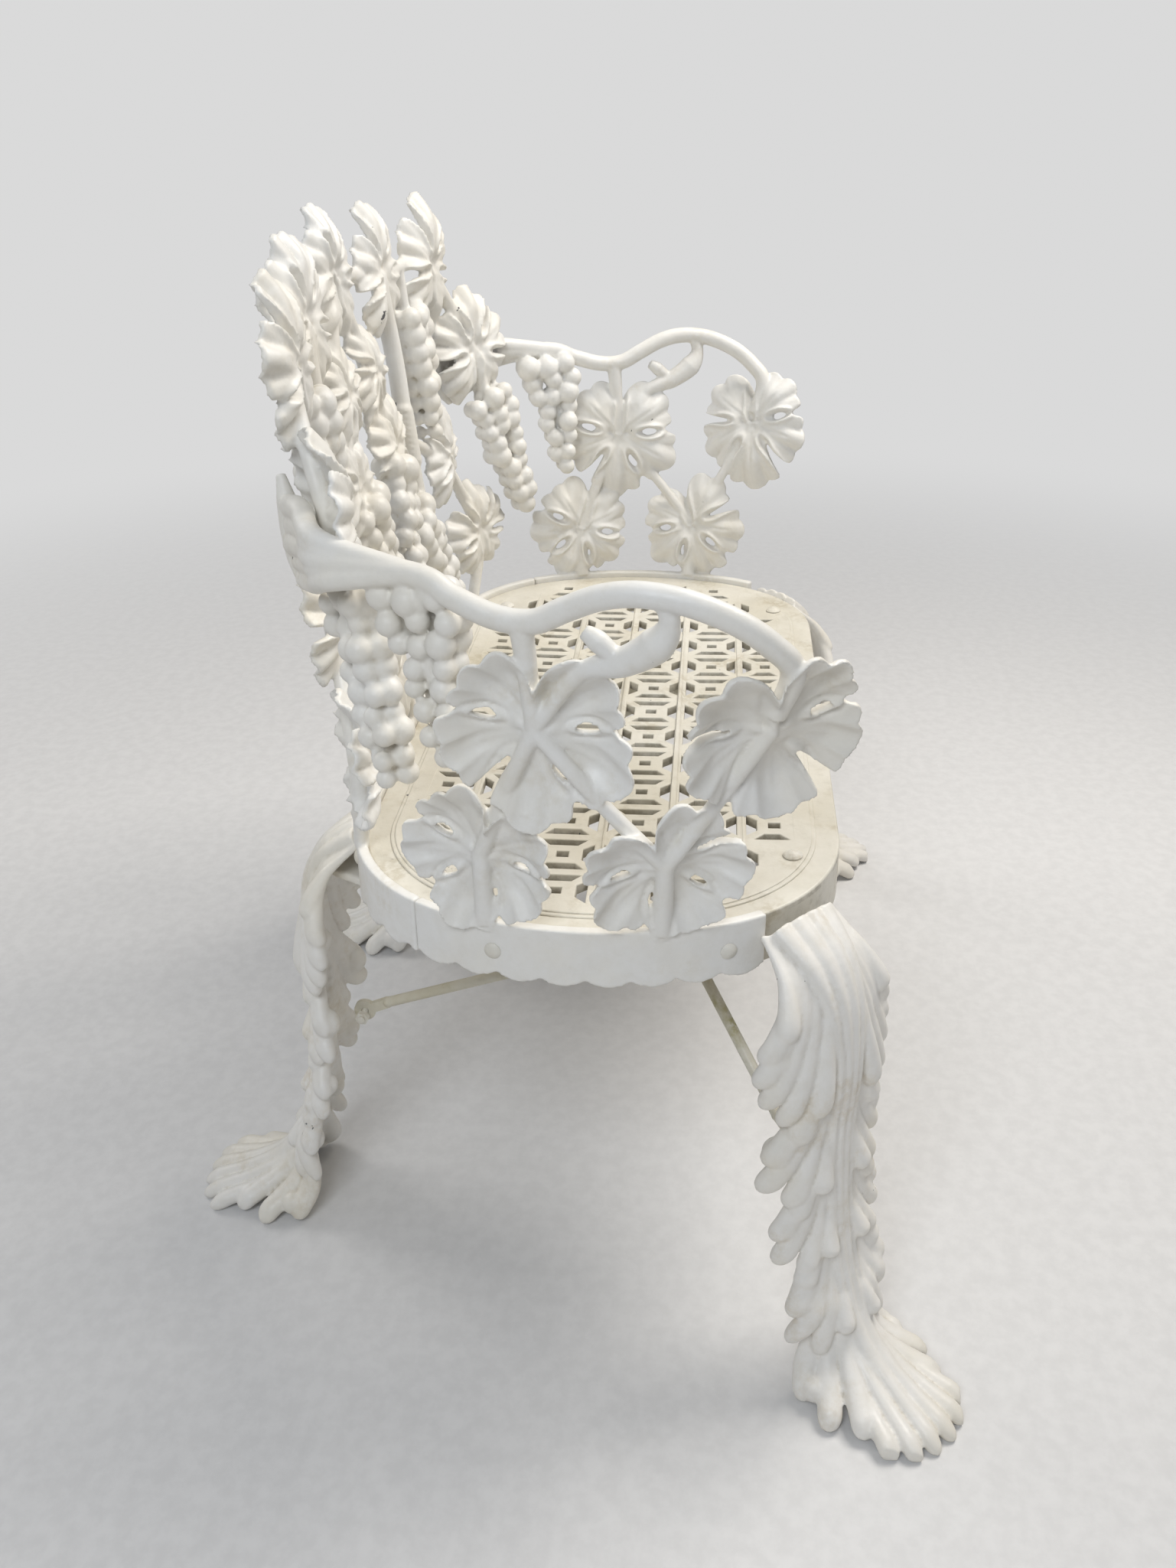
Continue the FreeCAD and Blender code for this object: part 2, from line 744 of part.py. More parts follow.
# Braces
def eye_end(spot, axis, toward):
    """Flattened end of a brace with its bolt hole, and the point where the rod starts."""
    flat = toward - axis * toward.dot(axis)
    flat.normalize()
    side = axis.cross(flat)
    start = spot + axis * (brace_eye_thickness / 2) + flat * brace_tang
    disc = Part.makeCylinder(brace_eye_radius, brace_eye_thickness, spot, axis)
    tang = Part.makeBox(brace_tang, 2 * brace_radius, brace_eye_thickness, Vector(0, -brace_radius, 0))
    end = disc.fuse(placed(tang, spot, flat, side, axis))
    below = spot - axis * brace_eye_thickness
    hole = Part.makeCylinder(hole_radius, brace_eye_thickness * 3, below, axis)
    return end, hole, start


def make_brace(leg, upper):
    """Round brace from a leg's lug up to a bolted eye under the seat."""
    axis = leg_axes(leg)[2]
    lower = leg_spot(leg, lug_reach, lug_thickness / 2, lug_height)
    low_end, low_hole, low_start = eye_end(lower, axis, upper - lower)
    top_end, top_hole, top_start = eye_end(upper, -UP, lower - upper)
    run = top_start - low_start
    rod = Part.makeCylinder(brace_radius, run.Length, low_start, run)
    ball = Part.makeSphere(brace_radius * ball_share, low_start)
    top_ball = Part.makeSphere(brace_radius * ball_share, top_start)
    return rod.multiFuse([low_end, top_end, ball, top_ball]).cut([low_hole, top_hole])


# Fasteners, made with z along the shank and z = 0 under the head
def domed_head(radius, height):
    """Low dome with a short straight edge."""
    crown = height * (1 - head_edge_share)
    dome = (radius ** 2 + crown ** 2) / (2 * crown)
    return Part.makeCylinder(radius, height).common(Part.makeSphere(dome, UP * (height - dome)))


def hexagon(radius, height):
    """Six-sided block on z = 0."""
    corners = [(radius * math.cos(k * math.pi / 3), radius * math.sin(k * math.pi / 3)) for k in range(6)]
    return prism([polygon_wire(corners)], 0, height)


def bolt(head, length):
    """Head with a shank that hangs below it."""
    return head.fuse(Part.makeCylinder(shank_radius, length, Vector(0, 0, -length)))


def nut():
    """Plain six-sided nut."""
    thread = Part.makeCylinder(shank_radius + thread_clearance, nut_height)
    return hexagon(nut_radius, nut_height).cut(thread)


def washer():
    """Plain round washer."""
    ring_solid = Part.makeCylinder(washer_radius, washer_thickness)
    return ring_solid.cut(Part.makeCylinder(hole_radius, washer_thickness))


def along_axis(shape, origin, axis):
    """Fastener turned so that its z axis is axis."""
    side = axis.cross(UP) if abs(axis.z) < 0.9 else ACROSS
    side.normalize()
    return placed(shape, origin, side, axis.cross(side), axis)


def leg_fasteners():
    """Bolts, washers and nuts that hold the legs under the seat."""
    stack = apron_depth + flange_thickness
    head = domed_head(leg_head_radius, leg_head_height)
    groups = {"leg_bolts": [], "leg_washers": [], "leg_nuts": []}
    for index, spot in enumerate(leg_bolts):
        under = brace_eye_thickness if index == 0 else 0
        length = stack + under + washer_thickness + nut_height + shank_tail
        bottom = seat_height - stack - under
        groups["leg_bolts"].append(along_axis(bolt(head, length), spot + UP * seat_height, UP))
        groups["leg_washers"].append(along_axis(washer(), spot + UP * (bottom - washer_thickness), UP))
        seat_of_nut = bottom - washer_thickness - nut_height
        groups["leg_nuts"].append(along_axis(nut(), spot + UP * seat_of_nut, UP))
    return groups


def band_fasteners(name, runs):
    """Bolts, washers and nuts that hold a band against the apron."""
    head = domed_head(band_head_radius, band_head_height)
    sag = washer_radius ** 2 / (2 * (corner_radius - apron_thickness))
    outer = band_clearance + band_thickness
    washer_face = -apron_thickness - sag - washer_thickness
    nut_face = washer_face - nut_height
    length = outer - nut_face + shank_tail
    groups = {name + "_bolts": [], name + "_washers": [], name + "_nuts": []}
    for run in runs:
        point, normal, tangent = outline_frame(run)
        base = point + UP * (seat_height - band_bolt_drop)
        groups[name + "_bolts"].append(along_axis(bolt(head, length), base + normal * outer, normal))
        groups[name + "_washers"].append(along_axis(washer(), base + normal * washer_face, normal))
        groups[name + "_nuts"].append(along_axis(nut(), base + normal * nut_face, normal))
    return groups


def lug_fasteners():
    """Bolts and nuts through the leg lugs and the braces' lower eyes."""
    stack = lug_thickness + brace_eye_thickness
    head = hexagon(nut_radius, nut_height)
    groups = {"brace_lug_bolts": [], "brace_lug_nuts": []}
    for name in leg_places:
        axis = leg_axes(name)[2]
        outer = leg_spot(name, lug_reach, lug_thickness / 2 + brace_eye_thickness, lug_height)
        shank = bolt(head, stack + nut_height + shank_tail)
        groups["brace_lug_bolts"].append(along_axis(shank, outer, axis))
        back_face = outer - axis * (stack + nut_height)
        groups["brace_lug_nuts"].append(along_axis(nut(), back_face, axis))
    return groups


def hub_bolt():
    """Bolt that holds a front brace's upper eye under the seat."""
    length = brace_eye_thickness + hub_drop * hub_bolt_share
    screw = bolt(hexagon(nut_radius, nut_height), length)
    return along_axis(screw, hub_spot - UP * brace_eye_thickness, -UP)


def tab_screw():
    """Screw from the corner leaf's inner face into the rail's tab."""
    place, along, up, inward = tab_axes()
    head = domed_head(band_head_radius, band_head_height)
    screw = bolt(head, leaf_thickness + screw_bite - 1)
    return along_axis(screw, place + inward * leaf_thickness, inward)


def build():
    """Every node of the bench by name."""
    bunch = grape_bunch()
    leg = make_leg()
    arm = make_arm(bunch)
    side_top = leg_spot("front", -pad_back, -pad_side, apron_bottom - flange_thickness)
    nodes = {
        "seat_grille": make_seat(),
        "back_panel": make_back(bunch),
        "left_arm": arm,
        "right_arm": mirrored(arm),
    }
    pairs = {
        "side_brace": make_brace("rear", side_top),
        "front_brace": make_brace("front", hub_spot),
    }
    for name in leg_places:
        pairs[name + "_leg"] = placed(leg, *leg_axes(name))
    for name, shape in pairs.items():
        nodes["left_" + name] = shape
        nodes["right_" + name] = mirrored(shape)
    groups = leg_fasteners()
    groups.update(band_fasteners("arm", [end_run - along for along in arm_bolt_places]))
    groups.update(band_fasteners("back", back_bolt_places))
    groups.update(lug_fasteners())
    groups["brace_hub_bolts"] = [hub_bolt()]
    groups["tab_screws"] = [tab_screw()]
    for name, shapes in groups.items():
        nodes[name] = Part.makeCompound(both_sides(shapes))
    return nodes


def main():
    """Write each node with the origin on the floor under the middle of the whole bench."""
    os.makedirs("parts", exist_ok=True)
    nodes = build()
    whole = Part.makeCompound(list(nodes.values())).BoundBox
    shift = Vector(0, -(whole.YMin + whole.YMax) / 2, 0)
    for name, shape in nodes.items():
        shape.translate(shift)
        shape.exportStep("parts/" + name + ".step")
        print(name, len(shape.Solids), shape.isValid(), round(shape.Volume / 1000, 1))


main()
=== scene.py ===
import math

import bpy
import numpy as np
from mathutils import Matrix, Vector


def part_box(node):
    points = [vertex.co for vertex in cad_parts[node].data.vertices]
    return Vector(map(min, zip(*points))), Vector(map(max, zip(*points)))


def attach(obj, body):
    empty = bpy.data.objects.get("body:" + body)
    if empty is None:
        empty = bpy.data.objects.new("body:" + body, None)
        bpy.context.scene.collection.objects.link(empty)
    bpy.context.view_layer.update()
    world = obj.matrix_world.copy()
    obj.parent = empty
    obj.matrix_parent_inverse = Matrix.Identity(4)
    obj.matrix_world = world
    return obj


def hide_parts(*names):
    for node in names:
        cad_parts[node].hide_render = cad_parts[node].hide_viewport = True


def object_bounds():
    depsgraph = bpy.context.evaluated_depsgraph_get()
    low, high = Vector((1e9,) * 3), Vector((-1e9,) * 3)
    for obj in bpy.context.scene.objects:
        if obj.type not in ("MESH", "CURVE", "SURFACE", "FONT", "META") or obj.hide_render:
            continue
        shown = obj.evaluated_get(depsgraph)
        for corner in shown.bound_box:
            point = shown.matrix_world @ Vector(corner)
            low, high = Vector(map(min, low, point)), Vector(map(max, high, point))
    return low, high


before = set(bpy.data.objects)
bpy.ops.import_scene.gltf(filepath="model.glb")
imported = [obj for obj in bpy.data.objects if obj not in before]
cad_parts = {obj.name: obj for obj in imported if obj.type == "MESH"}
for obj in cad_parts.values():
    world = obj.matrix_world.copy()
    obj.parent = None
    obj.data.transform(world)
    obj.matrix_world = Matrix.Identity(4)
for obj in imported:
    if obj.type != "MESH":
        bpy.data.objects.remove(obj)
cad_low, cad_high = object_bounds()
seat_low, seat_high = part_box("seat_grille")
seat_middle_y = (seat_low.y + seat_high.y) / 2

# Lengths are millimetres from the seat's middle at floor level, as in the part's source.
MM = 0.001
SEAT_TOP = 418.0
HALF_LENGTH = 400.0
HALF_DEPTH = 195.0
CORNER_RADIUS = 152.0
SWEEP = math.radians(70.0)
CORNER_Y = HALF_DEPTH - CORNER_RADIUS
ARC_GAP = CORNER_Y / math.cos(SWEEP)
END_RADIUS = CORNER_RADIUS + ARC_GAP
END_CENTRE = HALF_LENGTH - END_RADIUS
CORNER_X = END_CENTRE + ARC_GAP * math.sin(SWEEP)
CORNER_RUN = CORNER_X + CORNER_RADIUS * SWEEP
END_RUN = CORNER_RUN + END_RADIUS * (math.pi / 2 - SWEEP)
UP = np.array([0.0, 0.0, 1.0])

# The shown castings stay inside the solids' box by these margins.
SHELL_MARGIN = 0.2
SKIN_MARGIN = 0.1


def inside_box(points, margin):
    """Points in metres, held inside the solids' box by a margin."""
    return np.clip(points, np.array(cad_low) + margin * MM, np.array(cad_high) - margin * MM)


def to_metres(points):
    """Points in metres in the row's frame."""
    moved = np.asarray(points, float) * MM + np.array([0.0, seat_middle_y, 0.0])
    return inside_box(moved, SHELL_MARGIN)


# Meshes
SOFTEN_ROUNDS = 3
SOFTEN_STEPS = (0.5, -0.52)
HOLLOW_ROUNDS = 14
HOLLOW_STEP = 0.6


class Soup:
    """Vertices and faces gathered from many closed shells."""

    def __init__(self):
        self.verts = []
        self.faces = []
        self.count = 0

    def add(self, verts, faces):
        verts = np.asarray(verts, float).reshape(-1, 3)
        faces = np.asarray(faces, int).reshape(-1, 4)
        self.verts.append(verts)
        self.faces.append(faces + self.count)
        self.count += len(verts)

    def arrays(self):
        return np.concatenate(self.verts), np.concatenate(self.faces)


def linked(name, data):
    """New object in the scene."""
    made = bpy.data.objects.new(name, data)
    bpy.context.scene.collection.objects.link(made)
    return made


def evaluated_mesh(holder):
    """Mesh made by an object's modifiers or curve; the object is removed."""
    graph = bpy.context.evaluated_depsgraph_get()
    mesh = bpy.data.meshes.new_from_object(holder.evaluated_get(graph))
    bpy.data.objects.remove(holder)
    return mesh


def mesh_from(name, verts, faces):
    """Mesh of four-cornered faces; a face that repeats its last corner is a triangle."""
    mesh = bpy.data.meshes.new(name)
    sizes = np.where(faces[:, 2] == faces[:, 3], 3, 4)
    keep = np.ones(faces.shape, bool)
    keep[:, 3] = sizes == 4
    loops = faces[keep]
    starts = np.concatenate([[0], np.cumsum(sizes)[:-1]])
    mesh.vertices.add(len(verts))
    mesh.vertices.foreach_set("co", np.asarray(verts, np.float32).ravel())
    mesh.loops.add(len(loops))
    mesh.loops.foreach_set("vertex_index", loops.astype(np.int32))
    mesh.polygons.add(len(sizes))
    mesh.polygons.foreach_set("loop_start", starts.astype(np.int32))
    mesh.update(calc_edges=True)
    mesh.validate()
    return mesh


def read_rows(items, key, width, kind):
    """Values of a mesh's vertices, edges or marks, one row for each."""
    rows = np.zeros(len(items) * width, kind)
    items.foreach_get(key, rows)
    return rows.reshape(-1, width)


def mesh_points(mesh):
    return read_rows(mesh.vertices, "co", 3, np.float32).astype(float)


def mesh_edges(mesh):
    return read_rows(mesh.edges, "vertices", 2, np.int32)


def set_points(mesh, points):
    mesh.vertices.foreach_set("co", points.astype(np.float32).ravel())
    mesh.update()


def neighbour_mean(values, edges):
    """Mean of each vertex's neighbours."""
    degree = np.maximum(1, np.bincount(edges.ravel(), minlength=len(values)))
    total = np.zeros_like(values)
    for k in range(values.shape[1]):
        total[:, k] = np.bincount(edges[:, 0], values[edges[:, 1], k], len(values))
        total[:, k] += np.bincount(edges[:, 1], values[edges[:, 0], k], len(values))
    return total / degree[:, None]


def soften(points, edges):
    """Surface smoothed without shrinking, by steps in and out again."""
    for _ in range(SOFTEN_ROUNDS):
        for step in SOFTEN_STEPS:
            points = points + step * (neighbour_mean(points, edges) - points)
    return points


def store_hollow(mesh, depth):
    """Keeps a depth for each vertex, shown by the paint as dirt and painted shade."""
    store = mesh.attributes.new("hollow", "FLOAT", "POINT")
    store.data.foreach_set("value", depth.astype(np.float32))


def mark_hollows(mesh):
    """Stores how deep each vertex lies below its surroundings, in millimetres."""
    points = mesh_points(mesh) / MM
    edges = mesh_edges(mesh)
    normals = read_rows(mesh.vertex_normals, "vector", 3, np.float32).astype(float)
    smooth = points
    for _ in range(HOLLOW_ROUNDS):
        smooth = smooth + HOLLOW_STEP * (neighbour_mean(smooth, edges) - smooth)
    store_hollow(mesh, np.sum((smooth - points) * normals, axis=1))


def casting_mesh(name, soup, voxel):
    """One closed skin round all the shells, with softened creases."""
    verts, faces = soup.arrays()
    rough = mesh_from(name + "_rough", to_metres(verts), faces)
    holder = linked(name + "_rough", rough)
    remesh = holder.modifiers.new("skin", "REMESH")
    remesh.mode = "VOXEL"
    remesh.voxel_size = voxel * MM
    mesh = evaluated_mesh(holder)
    bpy.data.meshes.remove(rough)
    mesh.name = name
    points = soften(mesh_points(mesh), mesh_edges(mesh))
    set_points(mesh, inside_box(points, SKIN_MARGIN))
    mesh.polygons.foreach_set("use_smooth", np.ones(len(mesh.polygons), bool))
    mark_hollows(mesh)
    return mesh


def mirrored_mesh(mesh, name):
    """Copy of a mesh on the other side of the bench."""
    copy = mesh.copy()
    copy.name = name
    set_points(copy, mesh_points(copy) * np.array([-1.0, 1.0, 1.0]))
    copy.flip_normals()
    copy.update()
    return copy


def piece(name, mesh, material, node):
    """Shown object that stands for a CAD node."""
    made = linked(name, mesh)
    mesh.materials.clear()
    mesh.materials.append(material)
    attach(made, "root")
    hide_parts(node)


# Places on the seat's outline and on the panels above it
PANEL_OFFSET = 4.7
OUTLINE_SAMPLES = 4000
BACK_LEAN, MIDDLE_LEAN, BOW_HALF = 0.055, 0.08, 280.0
CORNER_TUCK, TUCK_RUN, TUCK_RISE = 8.0, 52.0, 140.0
ARM_LEAN, LEAN_TO_REAR, LEAN_TO_FRONT = 0.11, 0.0006, 0.0016


def arc_point(x, y, radius, angle):
    """Point on an arc about x and y, at an angle that turns from the rear to the left end."""
    return np.array([x + radius * math.sin(angle), y + radius * math.cos(angle), 0.0])


def outline_frame(run):
    """Point, outward normal and tangent at a signed distance from the rear's middle."""
    side = 1.0 if run >= 0 else -1.0
    run = abs(run)
    if run <= CORNER_X:
        angle = 0.0
        point = np.array([run, HALF_DEPTH, 0.0])
    elif run <= CORNER_RUN:
        angle = (run - CORNER_X) / CORNER_RADIUS
        point = arc_point(CORNER_X, CORNER_Y, CORNER_RADIUS, angle)
    else:
        angle = SWEEP + (run - CORNER_RUN) / END_RADIUS
        over = max(0.0, angle - (math.pi - SWEEP)) * END_RADIUS / CORNER_RADIUS
        angle = min(angle, math.pi - SWEEP) + over
        if over > 0:
            point = arc_point(CORNER_X, -CORNER_Y, CORNER_RADIUS, angle)
        else:
            point = arc_point(END_CENTRE, 0.0, END_RADIUS, angle)
    flip = np.array([side, 1.0, 1.0])
    normal = np.array([math.sin(angle), math.cos(angle), 0.0]) * flip
    tangent = np.array([math.cos(angle), -side * math.sin(angle), 0.0])
    return point * flip, normal, tangent


def run_at_depth(depth):
    """Distance along the outline, sampled on the left end, at which its y is nearest to depth."""
    runs = np.linspace(CORNER_X, END_RUN, OUTLINE_SAMPLES)
    depths = np.array([outline_frame(run)[0][1] for run in runs])
    return float(runs[np.argmin(np.abs(depths - depth))])


def wall_frame(run, rise, lean, offset):
    """Place on a leaning panel: its origin and the directions along, up and toward the sitter."""
    point, normal, tangent = outline_frame(run)
    origin = point + normal * (offset + lean * rise) + UP * (SEAT_TOP + rise)
    up = normal * lean + UP
    up = up / np.linalg.norm(up)
    return origin, tangent, up, np.cross(tangent, up)


def share(value, low, high):
    """How far a number lies from low to high, between 0 and 1."""
    return min(1.0, max(0.0, (value - low) / (high - low)))


def back_frame(run, rise):
    """Place on the back, which leans more in the middle and is tucked in at its corners."""
    bow = max(0.0, 1 - (run / BOW_HALF) ** 2)
    near_corner = share(abs(run), CORNER_X, CORNER_X + TUCK_RUN) * share(rise, 0, TUCK_RISE)
    return wall_frame(run, rise, BACK_LEAN + MIDDLE_LEAN * bow, PANEL_OFFSET - CORNER_TUCK * near_corner)


def arm_frame(along, rise):
    """Place on the left arm; along counts from its middle toward the rear."""
    lean = ARM_LEAN - (LEAN_TO_FRONT if along < 0 else LEAN_TO_REAR) * along
    return wall_frame(END_RUN - along, rise, lean, PANEL_OFFSET)


def placed(local, place):
    """Local points (along, up, toward the sitter) set on a panel frame."""
    origin, along, up, inward = place
    return origin + local[:, :1] * along + local[:, 1:2] * up + local[:, 2:3] * inward


def ramp(value, low, high):
    """Smooth step of an array."""
    t = np.clip((value - low) / (high - low), 0, 1)
    return t * t * (3 - 2 * t)


def hump(value, middle, width):
    """Smooth bump of an array, 1 at its middle."""
    return np.exp(-((value - middle) / width) ** 2)


# Vine leaves: angles are degrees from the tip, lengths are shares of the leaf's radius
LOBES = [(0, 1.05), (65, 1.0), (-65, 1.0), (130, 0.94), (-130, 0.94)]
LOBE_HALF = 33
FINGERS = [(-21.5, 0.94), (0.0, 1.0), (21.5, 0.94)]
FINGER_HALF = 10.8
FINGER_CUT = 0.075
FINGER_SIZES = (0.93, 1.06)
NOTCHES = [32.5, -32.5, 97.5, -97.5]
NOTCH_HALF = 5.2
NOTCH_DEPTH, SLIT_DEPTH = 0.1, 0.5
LEAST_REACH = 0.36
EYE_PLACE, EYE_LENGTH, EYE_WIDTH = 0.5, 0.14, 0.06
PILLOW, FLARE = 0.12, 0.1
CLOSED_SINUS, BACK_FOLLOWS = 0.3, 0.65
LEAF_COLUMNS, LEAF_RINGS, LUMP_COUNT = 600, 39, 5

# Sizes of a leaf that are the same at any radius, in millimetres
LEAF_THICK, MARGIN_THINNER = 6.0, 1.4
RIM_HEIGHT, RIM_AWAY, RIM_WIDTH = 5.6, 3.0, 2.2
SINUS_AWAY, SINUS_WIDTH = 6.2, 2.4
VEIN_DEPTH, VEIN_WIDTH = 1.5, 1.7
STALK_HEIGHT, STALK_AWAY, STALK_WIDTH = 3.6, 7.0, 2.4
GROOVE_DEPTH, GROOVE_WIDTH = 2.6, 3.5
LUMP_HEIGHT = 0.9


def turned(angle):
    """Angle brought to between -180 and 180 degrees."""
    return (angle + 180) % 360 - 180


def away_from(angle, middles):
    """Signed angle from the nearest of some directions."""
    nearest = np.full(angle.shape, 180.0)
    for middle in middles:
        away = turned(angle - middle)
        nearest = np.where(np.abs(away) < np.abs(nearest), away, nearest)
    return nearest


def leaf_reach(angle, sizes, depths):
    """Share of the leaf's radius at which its margin lies."""
    best = np.zeros(angle.shape)
    for (lobe, length), row in zip(LOBES, sizes):
        for (aside, part), size in zip(FINGERS, row):
            away = turned(angle - lobe - aside) / FINGER_HALF
            best = np.maximum(best, length * part * size * (1 - FINGER_CUT * away ** 2))
    for notch, depth in zip(NOTCHES, depths):
        best -= depth * np.exp(-(turned(angle - notch) / NOTCH_HALF) ** 4)
    return np.maximum(LEAST_REACH, best)


def leaf_eyes(r, angle, radius, slit):
    """Cells that lie in an eye, and how close each place is to the rolled rim of an eye or slit."""
    open_cells = np.zeros(r.shape, bool)
    rim = np.zeros(r.shape)
    for notch, is_slit in zip(NOTCHES, slit):
        off = np.radians(turned(angle - notch))
        near = np.abs(off) < 1.2
        outward = r * np.cos(off) - EYE_PLACE * radius
        aside = np.abs(r * np.sin(off))
        far = np.hypot(outward / (EYE_LENGTH * radius), aside / (EYE_WIDTH * radius))
        if not is_slit:
            open_cells |= near & (far < 1)
        ring = hump((far - 1) * EYE_WIDTH * radius, RIM_AWAY, RIM_WIDTH)
        sinus = hump(aside, SINUS_AWAY, SINUS_WIDTH) * (outward > 0) * (1.0 if is_slit else CLOSED_SINUS)
        rim = np.maximum(rim, np.maximum(ring, sinus) * near)
    return open_cells, rim


def leaf_middle(radius, relief, rho, lobe, finger):
    """Height of the leaf's middle sheet: puffed lobes and a flaring, ruffled margin."""
    puff = 0.4 + 0.6 * lobe
    pillow = PILLOW * radius * puff * np.clip(np.sin(math.pi * rho ** 0.95), 0, 1) ** 0.8
    flare = FLARE * radius * ramp(rho, 0.6, 1.0)
    ruffle = (1.6 + 0.55 * relief) * (finger - 0.5) * ramp(rho, 0.55, 1.0)
    return pillow - flare + ruffle


def leaf_front(relief, rho, r, angle, lobe_away, finger):
    """Relief of the leaf's front: raised fingers, sunk veins and a grooved stalk."""
    front = relief * (finger ** 0.8 - 0.45) * ramp(rho, 0.45, 0.85) * (1 - 0.4 * ramp(rho, 0.9, 1.0))
    vein = np.radians(np.abs(lobe_away)) * r
    front -= VEIN_DEPTH * hump(vein, 0, VEIN_WIDTH) * ramp(rho, 0.05, 0.2) * (1 - ramp(rho, 0.6, 0.9))
    stalk = np.radians(np.abs(turned(angle - 180))) * r
    front += STALK_HEIGHT * hump(stalk, STALK_AWAY, STALK_WIDTH) * (1 - ramp(rho, 0.9, 1.0))
    return front - GROOVE_DEPTH * hump(stalk, 0, GROOVE_WIDTH)


def leaf(radius, turn, seed, slit_share, relief):
    """Leaf shell: puffed toward the sitter with rolled eyes and slits, hollow behind."""
    random = np.random.RandomState(seed)
    angles = np.linspace(-180, 180, LEAF_COLUMNS, endpoint=False)
    sizes = random.uniform(*FINGER_SIZES, (len(LOBES), len(FINGERS)))
    slit = random.rand(len(NOTCHES)) < slit_share
    reach = leaf_reach(angles, sizes, np.where(slit, SLIT_DEPTH, NOTCH_DEPTH)) * radius
    whole = leaf_reach(angles, sizes, np.zeros(len(NOTCHES))) * radius
    angle, out = np.meshgrid(angles, np.linspace(0, 1, LEAF_RINGS), indexing="ij")
    r = out * reach[:, None]
    rho = r / whole[:, None]
    x = -r * np.sin(np.radians(angle + turn))
    y = r * np.cos(np.radians(angle + turn))
    lobe_away = away_from(angle, [lobe for lobe, length in LOBES])
    finger_away = away_from(angle, [lobe + aside for lobe, length in LOBES for aside, size in FINGERS])
    lobe = np.cos(np.clip(lobe_away / LOBE_HALF, -1, 1) * math.pi / 2) ** 2
    finger = np.cos(np.clip(finger_away / FINGER_HALF, -1, 1) * math.pi / 2)
    lumps = np.zeros_like(r)
    for _ in range(LUMP_COUNT):
        wave = random.uniform(-0.1, 0.1, 2)
        lumps += LUMP_HEIGHT * np.sin(wave[0] * x + wave[1] * y + random.rand() * 6.3)
    mid = leaf_middle(radius, relief, rho, lobe, finger) + lumps
    open_cells, rim = leaf_eyes(r, angle, radius, slit)
    raised = leaf_front(relief, rho, r, angle, lobe_away, finger) + RIM_HEIGHT * rim
    thick = LEAF_THICK - MARGIN_THINNER * ramp(rho, 0.75, 1.0)
    z_front = mid + thick / 2 + raised
    z_back = mid - thick / 2 + BACK_FOLLOWS * raised
    return shell_faces(x, y, z_front, z_back, open_cells)


def shell_faces(x, y, z_front, z_back, open_cells):
    """Closed shell between two sheets on a polar grid, with walls at its margin and round its eyes."""
    count, rings = x.shape
    verts = np.concatenate([np.stack([x, y, z], -1).reshape(-1, 3) for z in (z_front, z_back)])
    index = np.arange(count * rings).reshape(count, rings)
    after = np.roll(index, -1, axis=0)
    behind = count * rings
    corner = np.roll(open_cells, -1, axis=0)
    kept = ~(open_cells[:, :-1] & open_cells[:, 1:] & corner[:, :-1] & corner[:, 1:])
    a, b, c, d = index[:, :-1], after[:, :-1], after[:, 1:], index[:, 1:]
    faces = [np.stack([a, d, c, b], -1)[kept], np.stack([a, b, c, d], -1)[kept] + behind]

    def wall(p, q):
        faces.append(np.stack([p, q, q + behind, p + behind], -1))

    wall(index[:, -1], after[:, -1])
    across = kept != np.roll(kept, -1, axis=0)
    wall(b[across], c[across])
    outward = kept[:, :-1] != kept[:, 1:]
    wall(d[:, :-1][outward], c[:, :-1][outward])
    return verts, np.concatenate(faces)


# Round bars and grapes
GRAPE_ROW, GRAPE_GAP = 16.5, 20.0
GRAPE_SIZES = (9.6, 14.2)


def spline(points, steps):
    """Smooth line through points."""
    points = np.asarray(points, float)
    ends = np.concatenate([[2 * points[0] - points[1]], points, [2 * points[-1] - points[-2]]])
    line = []
    for k in range(len(points) - 1):
        p0, p1, p2, p3 = ends[k:k + 4]
        bend = 2 * p0 - 5 * p1 + 4 * p2 - p3
        twist = 3 * p1 - p0 - 3 * p2 + p3
        for t in np.arange(steps) / steps:
            line.append(0.5 * (2 * p1 + (p2 - p0) * t + bend * t ** 2 + twist * t ** 3))
    line.append(points[-1])
    return np.array(line)


def tube_walls(index):
    """Faces between rings of points that follow one another."""
    after = np.roll(index, -1, axis=1)
    return np.stack([index[:-1], after[:-1], after[1:], index[1:]], -1).reshape(-1, 4)


def closed_tube(steps, sides):
    """Faces of a tube of rings, closed by two more points at its ends."""
    index = np.arange(steps * sides).reshape(steps, sides)
    after = np.roll(index, -1, axis=1)
    first = np.full(sides, steps * sides)
    last = first + 1
    start = np.stack([after[0], index[0], first, first], -1)
    end = np.stack([index[-1], after[-1], last, last], -1)
    return np.concatenate([tube_walls(index), start, end])


